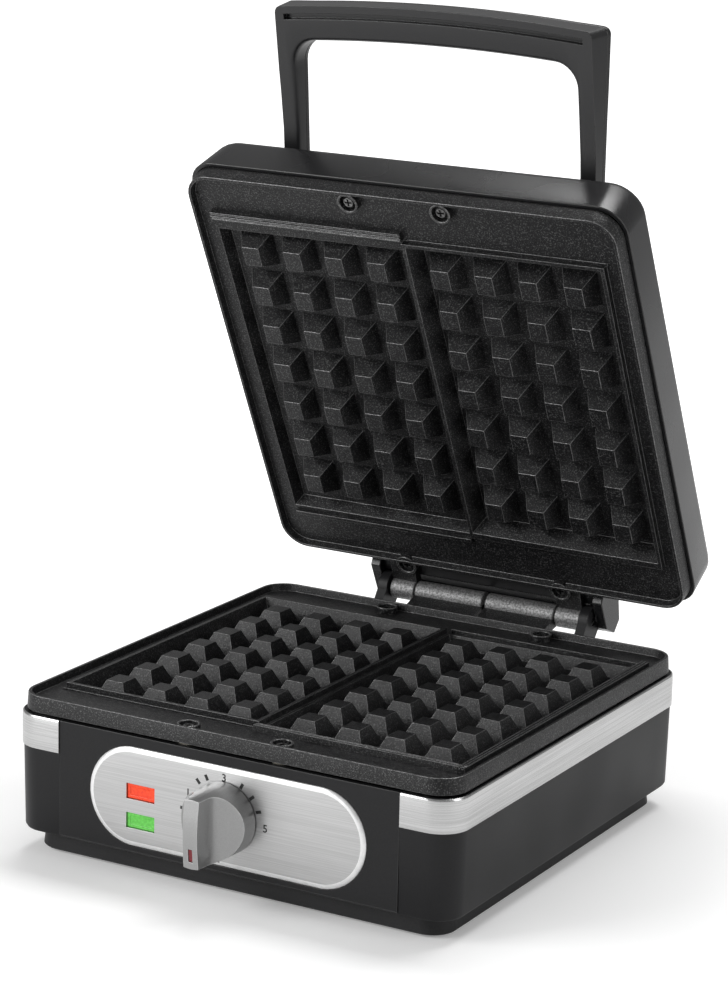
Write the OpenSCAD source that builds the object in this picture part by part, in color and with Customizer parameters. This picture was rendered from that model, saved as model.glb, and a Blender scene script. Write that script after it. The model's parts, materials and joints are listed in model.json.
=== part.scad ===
// Waffle maker with a hinged lid, two stud castings and a front control panel.
// Millimetres, +Z up. Origin: centre of the footprint, on the plane it stands on.
// The lid is drawn shut and then swung up to the angle it rests at.

/* [Body] */
// Width of the body over the steel band
body_w = 254; // [230:1:290]
// Depth of the body, front to back
body_d = 256.6; // [235:0.1:290]
// Radius of the upright corners
corner_r = 15.6; // [12:0.1:22]
// Height of the rubber feet that shows
foot_show = 1.5; // [1:0.1:4]
// Height of the plinth that shows
plinth_h = 10.6; // [8:0.1:16]
// Height of the housing above the plinth
housing_h = 62; // [58:0.5:75]
// Wall of the moulded housing
wall = 3.2; // [2.4:0.1:4]
// How far the plinth is set in on each side at the floor
plinth_inset = 8.5; // [6:0.1:12]
// How far the plinth leans in from the floor to its top
plinth_draft = 1.2; // [0.5:0.1:2]

/* [Steel band] */
// Height of the band
band_h = 17.6; // [10:0.1:24]
// Thickness of the band
band_t = 1; // [0.9:0.1:1.4]
// How far the band stands proud of the housing
band_proud = 0.8; // [0.4:0.1:0.8]
// How far the seams beside the front panel stand in from the body's sides
seam_in = 29.6; // [24:0.1:40]

/* [Front panel and controls] */
// Thickness of the front panel
panel_t = 3; // [2.4:0.1:4]
// Distance from the control plate's ends to the seams
plate_margin = 18.1; // [8:0.1:30]
// Height of the control plate
plate_h = 51.6; // [44:0.1:54]
// Thickness of the control plate
plate_t = 1.6; // [1:0.1:2]
// How deep the control plate sits in the panel
plate_seat = 0.6; // [0.3:0.1:0.9]
// Height of the control plate's centre
control_z = 42.4; // [38:0.1:48]
// Where the knob stands along the panel
knob_x = 0.5; // [-10:0.5:10]
// Diameter of the knob at its foot
knob_d = 37.6; // [30:0.2:42]
// How far the knob stands out of the control plate
knob_h = 34; // [26:0.5:36]
// Width of the knob's grip bar at its front
grip_w = 8.7; // [5:0.1:10]
// Diameter of the thermostat's shaft
shaft_d = 6; // [5:0.5:8]
// Width of each lamp window
window_w = 16.6; // [12:0.1:20]
// Height of each lamp window
window_h = 8; // [6:0.1:10]
// Distance of the lamp windows' centres from the control plate's end
window_in = 30.5; // [24:0.1:45]
// Distance between the two windows' centres
window_pitch = 15.2; // [12:0.1:20]

/* [Plates] */
// How far the rim's edge is set in from the body
rim_inset = 2.5; // [2:0.1:4]
// Height of the rim above the deck
rim_h = 4; // [3:0.1:6]
// How far the skirt hangs below the deck
skirt_h = 4.5; // [3.5:0.1:6]
// How far the skirt flares out from the rim to its foot
skirt_flare = 0.6; // [0:0.1:2]
// Thickness of the cast deck
deck_t = 3; // [2.4:0.1:4]
// Studs across one half of a plate
stud_cols = 4; // [3:1:4]
// Studs from front to back
stud_rows = 7; // [5:1:7]
// From the pocket's inner edge to the first stud's top
stud_in = 12.1; // [9:0.1:15]
// From the last stud's top to the pocket's outer edge
stud_out = 14.35; // [9:0.05:18]
// From the pocket's front edge to the first stud's top
stud_front = 8.3; // [6:0.1:15]
// From the last stud's top to the pocket's back edge
stud_back = 15.6; // [9:0.1:18]
// Width of a stud's top, across
stud_w = 9.9; // [8:0.1:11]
// Width of a stud's top, front to back
stud_l = 11.4; // [9:0.1:12.5]
// Height of a stud over the pocket's floor
stud_h = 10; // [8:0.1:12]
// How far a stud's side leans out over its height
stud_draft = 4.7; // [3:0.1:5.5]
// Depth of the pocket's floor below the deck
pocket_h = 6.4; // [5:0.1:8]
// Height of the ledges that keep the batter in
ledge_h = 3.5; // [2.5:0.1:3.8]
// Gap between the two rims when the lid is shut
rim_gap = 1; // [0.5:0.1:3]

/* [Lid and hinge] */
// Gap between the housing's top and the lower plate's skirt
skirt_gap = 0.9; // [0.5:0.1:3]
// Height of the lid shell's wall
lid_wall_h = 26.7; // [20:0.1:34]
// Rise of the lid's crown over its wall
crown_h = 10.5; // [6:0.5:14]
// Wall of the lid shell
lid_wall = 2.6; // [2:0.1:3.5]
// Distance of the hinge pin behind the body
hinge_back = 17.7; // [16:0.1:22]
// Height of the hinge pin over the lower rim
hinge_up = 2; // [1:0.1:3]
// Diameter of the hinge pin
pin_d = 5; // [4:0.5:6]
// Outer radius of the knuckles
knuckle_r = 6; // [5:0.1:7]
// Radial clearance of the pin in its knuckles
pin_gap = 0.05; // [0.02:0.01:0.1]
// How far the lid stands open at rest, from shut
lid_open = 63.2; // [0:0.1:98]

/* [Handle] */
// Clear width between the handle's legs
hand_w = 164; // [140:0.5:176]
// Reach of the handle from where it leaves the lid's front wall
handle_l = 69.8; // [55:0.1:85]
// Depth of the handle, front to back
handle_t = 11.4; // [9:0.1:16]
// Width of each leg
leg_w = 9.5; // [8.6:0.1:12]
// Height of the grip bar
bar_h = 19; // [15:0.1:24]
// Radius of the crowned grip
crown_r = 1000; // [700:10:2000]
// How far the grip's front stands forward of the legs' feet
grip_swell = 6; // [2:0.1:8]
// Tilt of the handle above the lid when shut
handle_tilt = 22; // [10:1:35]

/* [Hidden] */

$fn = 48;
eps = 0.01;

// heights, from the floor up
plinth_z = foot_show;
housing_z = plinth_z + plinth_h;
housing_top = housing_z + housing_h;
band_z = housing_top - band_h;
skirt_z = housing_top + skirt_gap;
deck_z = skirt_z + skirt_h;
rim_z = deck_z + rim_h;
upper_rim_z = rim_z + rim_gap;
upper_deck_z = upper_rim_z + rim_h;
lid_z = upper_deck_z + skirt_h + 0.6;
lid_edge_z = lid_z + lid_wall_h;
hinge_y = body_d / 2 + hinge_back;
hinge_z = rim_z + hinge_up;

half_w = body_w / 2;
half_d = body_d / 2;
rim_w = body_w - 2 * rim_inset;
rim_d = body_d - 2 * rim_inset;
rim_r = corner_r - rim_inset / 2;
seat_gap = 0.15;

// ---------- shared shapes ----------

// rounded rectangle in plan
module plan(w, d, r) {
    square([w - 2 * r, d], center = true);
    square([w, d - 2 * r], center = true);
    for (x = [-1, 1], y = [-1, 1])
        translate([x * (w / 2 - r), y * (d / 2 - r)])
            circle(r);
}

module slab(w, d, r, h) {
    linear_extrude(h)
        plan(w, d, r);
}

// carries a wall profile round a rounded rectangle; the profile's x is measured outwards
module wall_round(w, d, r) {
    for (k = [0:3])
        rotate([0, 0, 90 * k])
            let (across = k % 2 == 0 ? w : d, along = k % 2 == 0 ? d : w) {
                translate([across / 2, along / 2 - r, 0])
                    rotate([90, 0, 0])
                        linear_extrude(along - 2 * r)
                            children();
                translate([across / 2 - r, along / 2 - r, 0])
                    rotate_extrude(angle = 90)
                        translate([r, 0])
                            children();
            }
}

// a ring standing on z = 0
module ring(outer_r, inner_r, h) {
    difference() {
        cylinder(r = outer_r, h = h);
        translate([0, 0, -1])
            cylinder(r = inner_r, h = h + 2);
    }
}

// pan-head screw, head's underside at z = 0, shank going down
module screw(r, length, head_r, head_h) {
    translate([0, 0, -length])
        cylinder(r = r, h = length + 0.2);
    difference() {
        rotate_extrude()
            polygon([[0, 0], [head_r, 0], [head_r, head_h * 0.45], [head_r * 0.72, head_h], [0, head_h]]);
        for (a = [0, 90])
            rotate([0, 0, a])
                translate([-head_r * 0.55, -head_r * 0.12, head_h * 0.4])
                    cube([head_r * 1.1, head_r * 0.24, head_h]);
    }
}

module rod(a, b, r) {
    v = b - a;
    translate(a)
        rotate([0, acos(v[2] / norm(v)), atan2(v[1], v[0])])
            cylinder(r = r, h = norm(v), $fn = 24);
}

module wire(points, r) {
    for (i = [0:len(points) - 2])
        rod(points[i], points[i + 1], r);
    for (i = [1:len(points) - 2])
        translate(points[i])
            sphere(r + 0.12, $fn = 24);
}

// turns what is drawn shut up to the lid's resting angle
module on_lid() {
    translate([0, hinge_y, hinge_z])
        rotate([-lid_open, 0, 0])
            translate([0, -hinge_y, -hinge_z])
                children();
}

module lower_seat() {
    translate([0, 0, deck_z])
        children();
}

module upper_seat() {
    on_lid()
        translate([0, 0, upper_deck_z])
            rotate([0, 180, 0])
                children();
}

// ---------- the stud castings ----------
// drawn with the deck at z = 0 and the cooking side up; the ribbed half is at +X

pocket_in = 1.6;
pocket_out = half_w - 13;
pocket_front = -half_d + 37.6;
pocket_back = half_d - 29.5;
stud_x0 = pocket_in + stud_in;
stud_y0 = pocket_front + stud_front;
stud_px = (pocket_out - stud_out - stud_w - stud_x0) / (stud_cols - 1);
stud_py = (pocket_back - stud_back - stud_l - stud_y0) / (stud_rows - 1);
pocket_slope = stud_draft / stud_h;
pan_t = 3;
plain_front = pocket_front - 6.3;
ribbed_front = pocket_front - 12.6;
front_screw = [26.8, -half_d + 9.6];
back_screw = [47.7, half_d - 11.3];
lug_screw = [47.7, half_d + 0.1];
well_r = 4.6;

// a bar whose section tapers upwards, as the sides of studs and pockets do
function taper(a, b, draft, low, high) = [[a - draft, low], [b + draft, low], [b, high], [a, high]];

module rows_profile(a, b, draft, low, high, length) {
    rotate([90, 0, 90])
        linear_extrude(length)
            polygon(taper(a, b, draft, low, high));
}

module cols_profile(a, b, draft, low, high, length) {
    rotate([90, 0, 0])
        translate([0, 0, -length])
            linear_extrude(length)
                polygon(taper(a, b, draft, low, high));
}

stud_top = stud_h - pocket_h;

module studs() {
    intersection() {
        translate([pocket_in, 0, 0])
            for (j = [0:stud_rows - 1])
                let (y = stud_y0 + j * stud_py)
                    rows_profile(y, y + stud_l, stud_draft, -pocket_h, stud_top, pocket_out - pocket_in);
        translate([0, -half_d, 0])
            for (i = [0:stud_cols - 1])
                let (x = stud_x0 + i * stud_px)
                    cols_profile(x, x + stud_w, stud_draft, -pocket_h, stud_top, body_d);
    }
}

// the hollow that a pocket cuts: its sides lean in towards the floor from the size given at its top
module pocket(front, back, out, top) {
    lean = (top + pocket_h) * pocket_slope;
    intersection() {
        rows_profile(front + lean, back - lean, lean, top, -pocket_h, body_w);
        translate([0, -half_d, 0])
            cols_profile(pocket_in + lean, out - lean, lean, top, -pocket_h, body_d);
    }
}

module pan(front) {
    translate([pocket_in - 3, front - 1, -pocket_h - pan_t])
        cube([pocket_out - pocket_in + 5, pocket_back - front + 2, pocket_h + pan_t - deck_t + 0.5]);
}

rib_pitch = 2.1;

// ledge along one side of the ribbed half, with fine ribs along its top
module ribbed_ledge(front, length) {
    translate([pocket_in - 1, front, 0])
        rotate([90, 0, 90])
            linear_extrude(length)
                polygon([[0, -0.5], [0.6, ledge_h], [1.5, ledge_h], [1.8, ledge_h - 0.9], [2.4, ledge_h - 0.9],
                    [2.7, ledge_h], [3.5, ledge_h], [3.8, ledge_h - 0.9], [4.4, ledge_h - 0.9],
                    [4.7, ledge_h - 0.3], [5.4, ledge_h - 0.3], [6, -0.5]]);
}

// the same along the outer side, from the front ledge to the back
module side_ledge() {
    translate([pocket_out, pocket_back + 4.8, 0])
        rotate([90, 0, 0])
            linear_extrude(pocket_back + 4.8 - ribbed_front)
                polygon([[0, -0.5], [0.4, ledge_h], [1.2, ledge_h], [1.4, ledge_h - 0.9], [1.9, ledge_h - 0.9],
                    [2.1, ledge_h], [2.9, ledge_h], [3.1, ledge_h - 0.9], [3.6, ledge_h - 0.9],
                    [3.8, ledge_h - 0.3], [4.4, ledge_h - 0.3], [4.8, -0.5]]);
}

plain_t = 2;

// block that the plain half's pocket is cut down through, which leaves a thin rim round it
module plain_rim() {
    translate([-pocket_out - 0.4, plain_front, -0.5])
        cube([pocket_out - pocket_in + plain_t + 0.4, pocket_back - plain_front - 0.2, ledge_h + 0.5]);
    translate([-pocket_out - 1.6, plain_front - 1.3, -0.5])
        cube([pocket_out - pocket_in + 1, 1.4, 1.3]);
}

// the casting without its knuckles
module casting(side_ledge, back_screws) {
    difference() {
        union() {
            wall_round(rim_w, rim_d, rim_r)
                polygon([[-1.6, rim_h], [-0.4, rim_h], [0, rim_h - 0.4], [skirt_flare, -skirt_h],
                    [-0.4, -skirt_h], [-1.2, -deck_t], [-3, -deck_t], [-3, 0], [-2.4, 0]]);
            translate([0, 0, -deck_t])
                slab(rim_w - 5, rim_d - 5, rim_r - 2.5, deck_t);
            pan(pocket_front);
            mirror([1, 0, 0])
                pan(plain_front);
            ribbed_ledge(ribbed_front, pocket_out - pocket_in + (side_ledge ? 3.4 : 1.4));
            translate([pocket_in, pocket_back + 2.2, -0.5])
                cube([pocket_out - pocket_in - 1, 2.6, 2.7]);
            if (side_ledge)
                side_ledge();
            plain_rim();
            for (s = [-1, 1]) {
                translate([s * front_screw[0], front_screw[1], -deck_t])
                    cylinder(r = well_r + 1.3, h = deck_t + rim_h - 0.3);
                translate([s * front_screw[0], front_screw[1], -deck_t - 1])
                    cylinder(r = 5, h = 2);
                if (back_screws) {
                    translate([s * back_screw[0], back_screw[1], -deck_t])
                        cylinder(r = well_r + 1.3, h = deck_t + rim_h - 0.3);
                    translate([s * back_screw[0], back_screw[1], -deck_t - 1])
                        cylinder(r = 5, h = 2);
                }
                for (y = clip_ys)
                    translate([s * post_x, y, -pocket_h - pan_t - post_h])
                        cylinder(r = 3.5, h = post_h + 0.5);
            }
        }
        pocket(pocket_front, pocket_back, pocket_out, 0.5);
        mirror([1, 0, 0])
            pocket(plain_front + plain_t, pocket_back - 2 * plain_t, pocket_out - plain_t + 0.4, ledge_h + 0.01);
        for (s = [-1, 1]) {
            translate([s * front_screw[0], front_screw[1], 0]) {
                cylinder(r = well_r, h = rim_h + 1);
                translate([0, 0, -deck_t - 2])
                    cylinder(r = 2.2, h = 10);
            }
            if (back_screws)
                translate([s * back_screw[0], back_screw[1], 0]) {
                    cylinder(r = well_r, h = rim_h + 1);
                    translate([0, 0, -deck_t - 2])
                        cylinder(r = 2.2, h = 10);
                }
            for (y = clip_ys)
                translate([s * post_x, y, -pocket_h - pan_t - post_h - 1])
                    cylinder(r = 1.3, h = post_h);
        }
    }
    studs();
    mirror([1, 0, 0])
        studs();
}

// ---------- hinge ----------

knuckle_in = 1;
knuckle_mid = 43.2;
knuckle_gap = 0.7;
knuckle_end = 59;
pin_bore = pin_d / 2 + pin_gap;

// a knuckle barrel with the leaf that carries it; z and y are those of the pin in the casting's frame
module knuckle(x0, x1, y, z) {
    difference() {
        union() {
            translate([x0, y, z])
                rotate([0, 90, 0])
                    cylinder(r = knuckle_r, h = x1 - x0);
            translate([x0, 0, 0])
                rotate([90, 0, 90])
                    linear_extrude(x1 - x0)
                        polygon([[half_d - rim_inset - 0.5, -skirt_h + 0.6], [y + 1, z - knuckle_r + 0.1],
                            [y + 1, z - 1], [y - 3, z], [half_d - 1, rim_h - 3.6], [half_d - rim_inset - 0.5, rim_h - 3.6]]);
        }
        translate([x0 - 1, y, z])
            rotate([0, 90, 0])
                cylinder(r = pin_bore, h = x1 - x0 + 2);
    }
}

module lower_plate() {
    color("#2b2c2e")
        lower_seat() {
            casting(true, true);
            for (s = [0, 1])
                mirror([s, 0, 0])
                    knuckle(knuckle_in, knuckle_mid, hinge_y, hinge_z - deck_z);
        }
}

module lug_boss() {
    translate([lug_screw[0], lug_screw[1], -skirt_h])
        cylinder(r = 6.2, h = skirt_h + rim_h - 1);
}

module upper_plate() {
    color("#2b2c2e")
        upper_seat()
            difference() {
                union() {
                    casting(false, false);
                    for (s = [0, 1])
                        mirror([s, 0, 0]) {
                            lug_boss();
                            knuckle(knuckle_mid + knuckle_gap, knuckle_end, hinge_y, upper_deck_z - hinge_z);
                        }
                }
                for (s = [-1, 1])
                    translate([s * lug_screw[0], lug_screw[1], 0]) {
                        translate([0, 0, -0.5])
                            cylinder(r = well_r, h = rim_h + 2);
                        translate([0, 0, -skirt_h - 1])
                            cylinder(r = 2.2, h = 10);
                    }
            }
}

module hinge_pin() {
    color("#b9bbbd")
        translate([-pin_half, hinge_y, hinge_z])
            rotate([0, 90, 0]) {
                cylinder(d = pin_d, h = 2 * pin_half);
            }
}

cheek_in = 59.6;
cheek_t = 5.6;
cheek_r = 8.5;
pin_half = cheek_in + cheek_t - 0.4;

// ---------- heaters and reflectors, in the casting's frame ----------

tube_r = 3.25;
tube_z = -pocket_h - pan_t - tube_r - 0.2;
heat_x = half_w - 37;
heat_front = -half_d + 50.3;
heat_back = half_d - 66.3;
heat_leg = 20;
bend_r = 15;
post_x = half_w - 67;
post_h = 9.6;
clip_ys = [-45, 45];

module tube_bend(x, y, a) {
    translate([x, y, tube_z])
        rotate([0, 0, a])
            rotate_extrude(angle = 90)
                translate([bend_r, 0])
                    circle(tube_r);
}

module heater() {
    for (s = [0, 1])
        mirror([s, 0, 0]) {
            rod([0, heat_front, tube_z], [heat_x - bend_r, heat_front, tube_z], tube_r);
            tube_bend(heat_x - bend_r, heat_front + bend_r, 270);
            rod([heat_x, heat_front + bend_r, tube_z], [heat_x, heat_back - bend_r, tube_z], tube_r);
            tube_bend(heat_x - bend_r, heat_back - bend_r, 0);
            rod([heat_leg + bend_r, heat_back, tube_z], [heat_x - bend_r, heat_back, tube_z], tube_r);
            tube_bend(heat_leg + bend_r, heat_back + bend_r, 180);
            rod([heat_leg, heat_back + bend_r, tube_z], [heat_leg, heat_back + 40, tube_z], tube_r);
            rod([heat_leg, heat_back + 40, tube_z], [heat_leg, heat_back + 50, tube_z], 1.6);
        }
}

// strap over the tube, screwed to the pan on both sides
module clip() {
    rotate([90, 0, 0])
        linear_extrude(9, center = true)
            difference() {
                union() {
                    translate([0, tube_z])
                        circle(tube_r + 1.3);
                    translate([-tube_r - 1.3, tube_z])
                        square([2 * tube_r + 2.6, -tube_z - pocket_h - pan_t]);
                    translate([-10, -pocket_h - pan_t - 1])
                        square([20, 1]);
                }
                translate([0, tube_z])
                    circle(tube_r + 0.1);
                translate([-tube_r - 0.1, tube_z])
                    square([2 * tube_r + 0.2, -tube_z]);
            }
}

module heater_clips() {
    for (s = [-1, 1]) {
        translate([s * heat_x, 0, 0])
            clip();
        translate([s * 45, heat_front, 0])
            rotate([0, 0, 90])
                clip();
    }
}

tray_w = body_w - 40;
tray_front = -half_d + 32.3;
tray_back = half_d - 38.3;
tray_t = 0.8;
tray_z = -pocket_h - pan_t - post_h - tray_t - 0.1;

module reflector() {
    difference() {
        union() {
            translate([-tray_w / 2, tray_front, tray_z])
                cube([tray_w, tray_back - tray_front, tray_t]);
            for (s = [0, 1])
                mirror([s, 0, 0])
                    translate([tray_w / 2 - tray_t, tray_front, tray_z])
                        cube([tray_t, tray_back - tray_front, 7]);
            translate([-tray_w / 2, tray_front, tray_z])
                cube([tray_w, tray_t, 7]);
        }
        for (s = [-1, 1], y = clip_ys)
            translate([s * post_x, y, tray_z - 1])
                cylinder(r = 1.7, h = 4);
        translate([-26, -50, tray_z - 1])
            cylinder(r = 3, h = 4);
    }
}

module reflector_screws() {
    for (s = [-1, 1], y = clip_ys)
        translate([s * post_x, y, tray_z])
            rotate([180, 0, 0])
                screw(1.25, 7, 2.8, 1.8);
}

module lower_heater() {
    color("#8c8f92")
        lower_seat()
            heater();
}

module lower_heater_clips() {
    color("#a9abad")
        lower_seat()
            heater_clips();
}

module lower_reflector() {
    color("#c3c5c7")
        lower_seat()
            reflector();
}

module lower_reflector_screws() {
    color("#9a9c9f")
        lower_seat()
            reflector_screws();
}

module upper_heater() {
    color("#8c8f92")
        upper_seat()
            heater();
}

module upper_heater_clips() {
    color("#a9abad")
        upper_seat()
            heater_clips();
}

module upper_reflector() {
    color("#c3c5c7")
        upper_seat()
            reflector();
}

module upper_reflector_screws() {
    color("#9a9c9f")
        upper_seat()
            reflector_screws();
}

screw_r = 1.9;

module lower_plate_screws() {
    color("#9a9c9f")
        lower_seat()
            for (p = [front_screw, back_screw], s = [-1, 1])
                translate([s * p[0], p[1], 0.05])
                    screw(screw_r, 16, 3.6, 2.4);
}

module upper_plate_screws() {
    color("#9a9c9f")
        upper_seat() {
            for (s = [-1, 1])
                translate([s * front_screw[0], front_screw[1], 0.05])
                    screw(screw_r, 16, 3.6, 2.4);
            for (s = [-1, 1])
                translate([s * lug_screw[0], lug_screw[1], -0.45])
                    screw(screw_r, 12, 3.6, 2.4);
        }
}

// ---------- base ----------

shelf_z = housing_top - 3.6;
shelf_t = 2.5;
shelf_in = half_d - 23.3;
cover_screw = [max(half_w - 27, cheek_in + 21.4), half_d - 15.3];
arm_x = cheek_in;

// one of the two ledges inside the housing that the lower plate is screwed down to
module shelf(front) {
    translate([0, 0, shelf_z])
        intersection() {
            slab(body_w - 2 * wall + 1, body_d - 2 * wall + 1, corner_r - wall + 0.5, shelf_t);
            translate([-half_w, front ? -half_d + panel_t + band_proud + 0.5 : shelf_in, -1])
                cube([body_w, half_d - shelf_in - (front ? panel_t + band_proud + 0.5 : 0), shelf_t + 2]);
        }
}

arm_foot = [69.5, half_d - 10.3];

// arm bolted under the back shelf, out through a slot in the wall to the hinge pin
module hinge_arm() {
    translate([arm_x, 0, 0])
        rotate([90, 0, 90])
            linear_extrude(cheek_t)
                difference() {
                    union() {
                        translate([hinge_y, hinge_z])
                            circle(cheek_r);
                        polygon([[half_d - 17, shelf_z - 12], [half_d - 5.7, housing_top - 20],
                            [half_d + 3, housing_top - 19], [hinge_y + 6, hinge_z - 6],
                            [hinge_y - 6, hinge_z + 4], [half_d + 3.4, housing_top + 3],
                            [half_d + 1, housing_top - 0.5], [half_d - 5.7, housing_top - 0.5],
                            [half_d - 5.7, shelf_z - 0.1], [half_d - 17, shelf_z - 0.1]]);
                    }
                    translate([hinge_y, hinge_z])
                        circle(pin_bore);
                }
    difference() {
        translate([arm_x + cheek_t - 1, half_d - 17, shelf_z - 3.1])
            cube([10.5, 12.5, 3]);
        translate([arm_foot[0], arm_foot[1], shelf_z - 4])
            cylinder(r = 1.8, h = 5);
    }
}

module hinge_arms() {
    color("#1d1e20")
        for (s = [0, 1])
            mirror([s, 0, 0])
                hinge_arm();
}

module hinge_arm_screws() {
    color("#9a9c9f")
        for (s = [-1, 1])
            translate([s * arm_foot[0], arm_foot[1], shelf_z - 3.1])
                rotate([180, 0, 0])
                    screw(1.55, 5.4, 3, 2);
}

module band_notch() {
    for (s = [0, 1])
        mirror([s, 0, 0])
            translate([arm_x - 0.3, half_d - 6, housing_top - 20.3])
                cube([cheek_t + 0.6, 12, 30]);
}

gland = [half_w - 43, 34];
gland_r = 6;

module base_housing() {
    color("#1f2022")
        difference() {
            union() {
                wall_round(body_w, body_d, corner_r)
                    polygon([[-wall - 0.8, housing_z], [-band_proud - 1.6, housing_z],
                        [-band_proud - 0.7, housing_z + 1.5], [-band_proud, band_z - seat_gap],
                        [-band_t - 0.1, band_z - seat_gap], [-band_t - 0.1, housing_top - 0.4],
                        [-wall, housing_top - 0.4], [-wall, housing_z + 3], [-wall - 0.8, housing_z + 2.2]]);
                shelf(true);
                shelf(false);
                for (x = [-1, 1], y = [-1, 1])
                    translate([x * cover_screw[0], y * cover_screw[1], housing_z + 2.4])
                        cylinder(r = 5, h = shelf_z - housing_z - 2);
                for (s = [-1, 1]) {
                    translate([s * front_screw[0], front_screw[1], shelf_z - 9])
                        cylinder(r = 4.6, h = 9.5);
                    translate([s * back_screw[0], back_screw[1], shelf_z - 9])
                        cylinder(r = 4.6, h = 9.5);
                }
            }
            // the opening that the front panel fills
            translate([-seam_x - 0.1, -half_d - 1, housing_z - 1])
                cube([2 * seam_x + 0.2, panel_t + band_proud + 1.4, housing_h + 2]);
            translate([0, 0, housing_z])
                for (x = [-1, 1], y = [-1, 1])
                    translate([x * cover_screw[0], y * cover_screw[1], 0])
                        cylinder(r = 1.6, h = 20);
            for (s = [-1, 1]) {
                translate([s * front_screw[0], front_screw[1], shelf_z - 10])
                    cylinder(r = screw_r + 0.05, h = 20);
                translate([s * back_screw[0], back_screw[1], shelf_z - 10])
                    cylinder(r = screw_r + 0.05, h = 20);
            }
            for (s = [-1, 1], z = panel_screw_zs)
                translate([s * panel_screw_x, -half_d + band_proud + 1.2, z])
                    rotate([-90, 0, 0])
                        cylinder(r = 1.25, h = 5);
            for (s = [-1, 1])
                translate([s * arm_foot[0], arm_foot[1], shelf_z - 1])
                    cylinder(r = 1.6, h = 5);
            translate([gland[0], half_d + 2, gland[1]])
                rotate([90, 0, 0])
                    cylinder(r = gland_r, h = 10);
            band_notch();
        }
}

module side_band() {
    color("#c9cacb")
        difference() {
            wall_round(body_w, body_d, corner_r)
                polygon([[-band_t, band_z], [0, band_z], [0, housing_top - 0.5], [-0.3, housing_top - 0.1],
                    [-band_t, housing_top - 0.1]]);
            translate([-seam_x - 0.15, -half_d - 1, band_z - 1])
                cube([2 * seam_x + 0.3, 20, band_h + 2]);
            band_notch();
        }
}

seam_x = half_w - seam_in;
plate_l = 2 * (seam_x - plate_margin);
holder_w = 24;
bracket_w = 38;
window_x = knob_x - max(plate_l / 2 - window_in, holder_w / 2 + bracket_w / 2 + 0.5);
panel_screw_x = seam_x + 4.6;
panel_screw_zs = [housing_z + 12, housing_top - 12];
wing_t = 2.2;

module stadium(l, h) {
    square([l - h, h], center = true);
    for (s = [-1, 1])
        translate([s * (l - h) / 2, 0])
            circle(d = h);
}

// puts a shape drawn in X and Y onto the panel's face, growing inwards
module on_face(y, depth) {
    translate([0, y + depth, 0])
        rotate([90, 0, 0])
            linear_extrude(depth)
                children();
}

face_y = -half_d + band_proud;
wall_y = -half_d + wall + 0.2;
plate_y = face_y - plate_t + plate_seat;

module windows(grow) {
    for (s = [-1, 1])
        translate([window_x, control_z - 4.8 + s * window_pitch / 2])
            square([window_w + 2 * grow, window_h + 2 * grow], center = true);
}

module front_panel() {
    color("#232426")
        difference() {
            union() {
                translate([-seam_x, 0, 0])
                    rotate([90, 0, 90])
                        linear_extrude(2 * seam_x)
                            polygon([[face_y + 1.6, housing_z], [face_y + 0.7, housing_z + 1.5], [face_y, band_z],
                                [face_y, housing_top - 1], [face_y + 0.6, housing_top - 0.4],
                                [face_y + panel_t, housing_top - 0.4], [face_y + panel_t, housing_z]]);
                for (s = [0, 1])
                    mirror([s, 0, 0]) {
                        translate([seam_x - 6, face_y + panel_t - 0.5, housing_z + 5])
                            cube([4, wall_y + wing_t - face_y - panel_t + 0.5, housing_h - 12]);
                        translate([seam_x - 6, wall_y, housing_z + 5])
                            cube([14, wing_t, housing_h - 12]);
                    }
            }
            on_face(face_y - eps, plate_seat + eps)
                translate([knob_x, control_z])
                    stadium(plate_l + 0.4, plate_h + 0.4);
            on_face(face_y - 1, panel_t + 2)
                windows(0.2);
            translate([knob_x, face_y - 1, control_z])
                rotate([-90, 0, 0])
                    cylinder(r = shaft_d / 2 + 1.2, h = panel_t + 2);
            for (s = [-1, 1], z = panel_screw_zs)
                translate([s * panel_screw_x, wall_y - 0.2, z])
                    rotate([-90, 0, 0])
                        cylinder(r = 1.7, h = wing_t + 2);
        }
}

module panel_screws() {
    color("#9a9c9f")
        for (s = [-1, 1], z = panel_screw_zs)
            translate([s * panel_screw_x, wall_y + wing_t, z])
                rotate([-90, 0, 0])
                    screw(1.2, 3.4, 2.8, 1.8);
}

module control_plate() {
    color("#cfcfcd")
        difference() {
            union() {
                on_face(plate_y + 0.5, plate_t - 0.5)
                    translate([knob_x, control_z])
                        stadium(plate_l, plate_h);
                on_face(plate_y, plate_t)
                    translate([knob_x, control_z])
                        stadium(plate_l - 1, plate_h - 1);
            }
            on_face(plate_y - 1, plate_t + 2)
                windows(0);
            translate([knob_x, plate_y - 1, control_z])
                rotate([-90, 0, 0])
                    cylinder(r = shaft_d / 2 + 1, h = plate_t + 2);
        }
}

lens_in = 1.4;

// tinted cap in a window, with a collar that stops against the panel's back
module lens(s) {
    z = control_z - 4.8 + s * window_pitch / 2;
    difference() {
        union() {
            translate([window_x - window_w / 2 + seat_gap, plate_y + lens_in, z - window_h / 2 + seat_gap])
                cube([window_w - 2 * seat_gap, plate_t + panel_t - plate_seat + 1.3 - lens_in, window_h - 2 * seat_gap]);
            translate([window_x - window_w / 2 - 1.6, face_y + panel_t, z - window_h / 2 - 1.6])
                cube([window_w + 3.2, 1.4, window_h + 3.2]);
        }
        translate([window_x - window_w / 2 + 1.8, plate_y + lens_in + 1.6, z - window_h / 2 + 1.8])
            cube([window_w - 3.6, 20, window_h - 3.6]);
    }
}

module red_lens() {
    color("#e0402a")
        lens(1);
}

module green_lens() {
    color("#5bbf4e")
        lens(-1);
}

holder_y = face_y + panel_t + 1.5;
lamp_r = 2.4;

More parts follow.
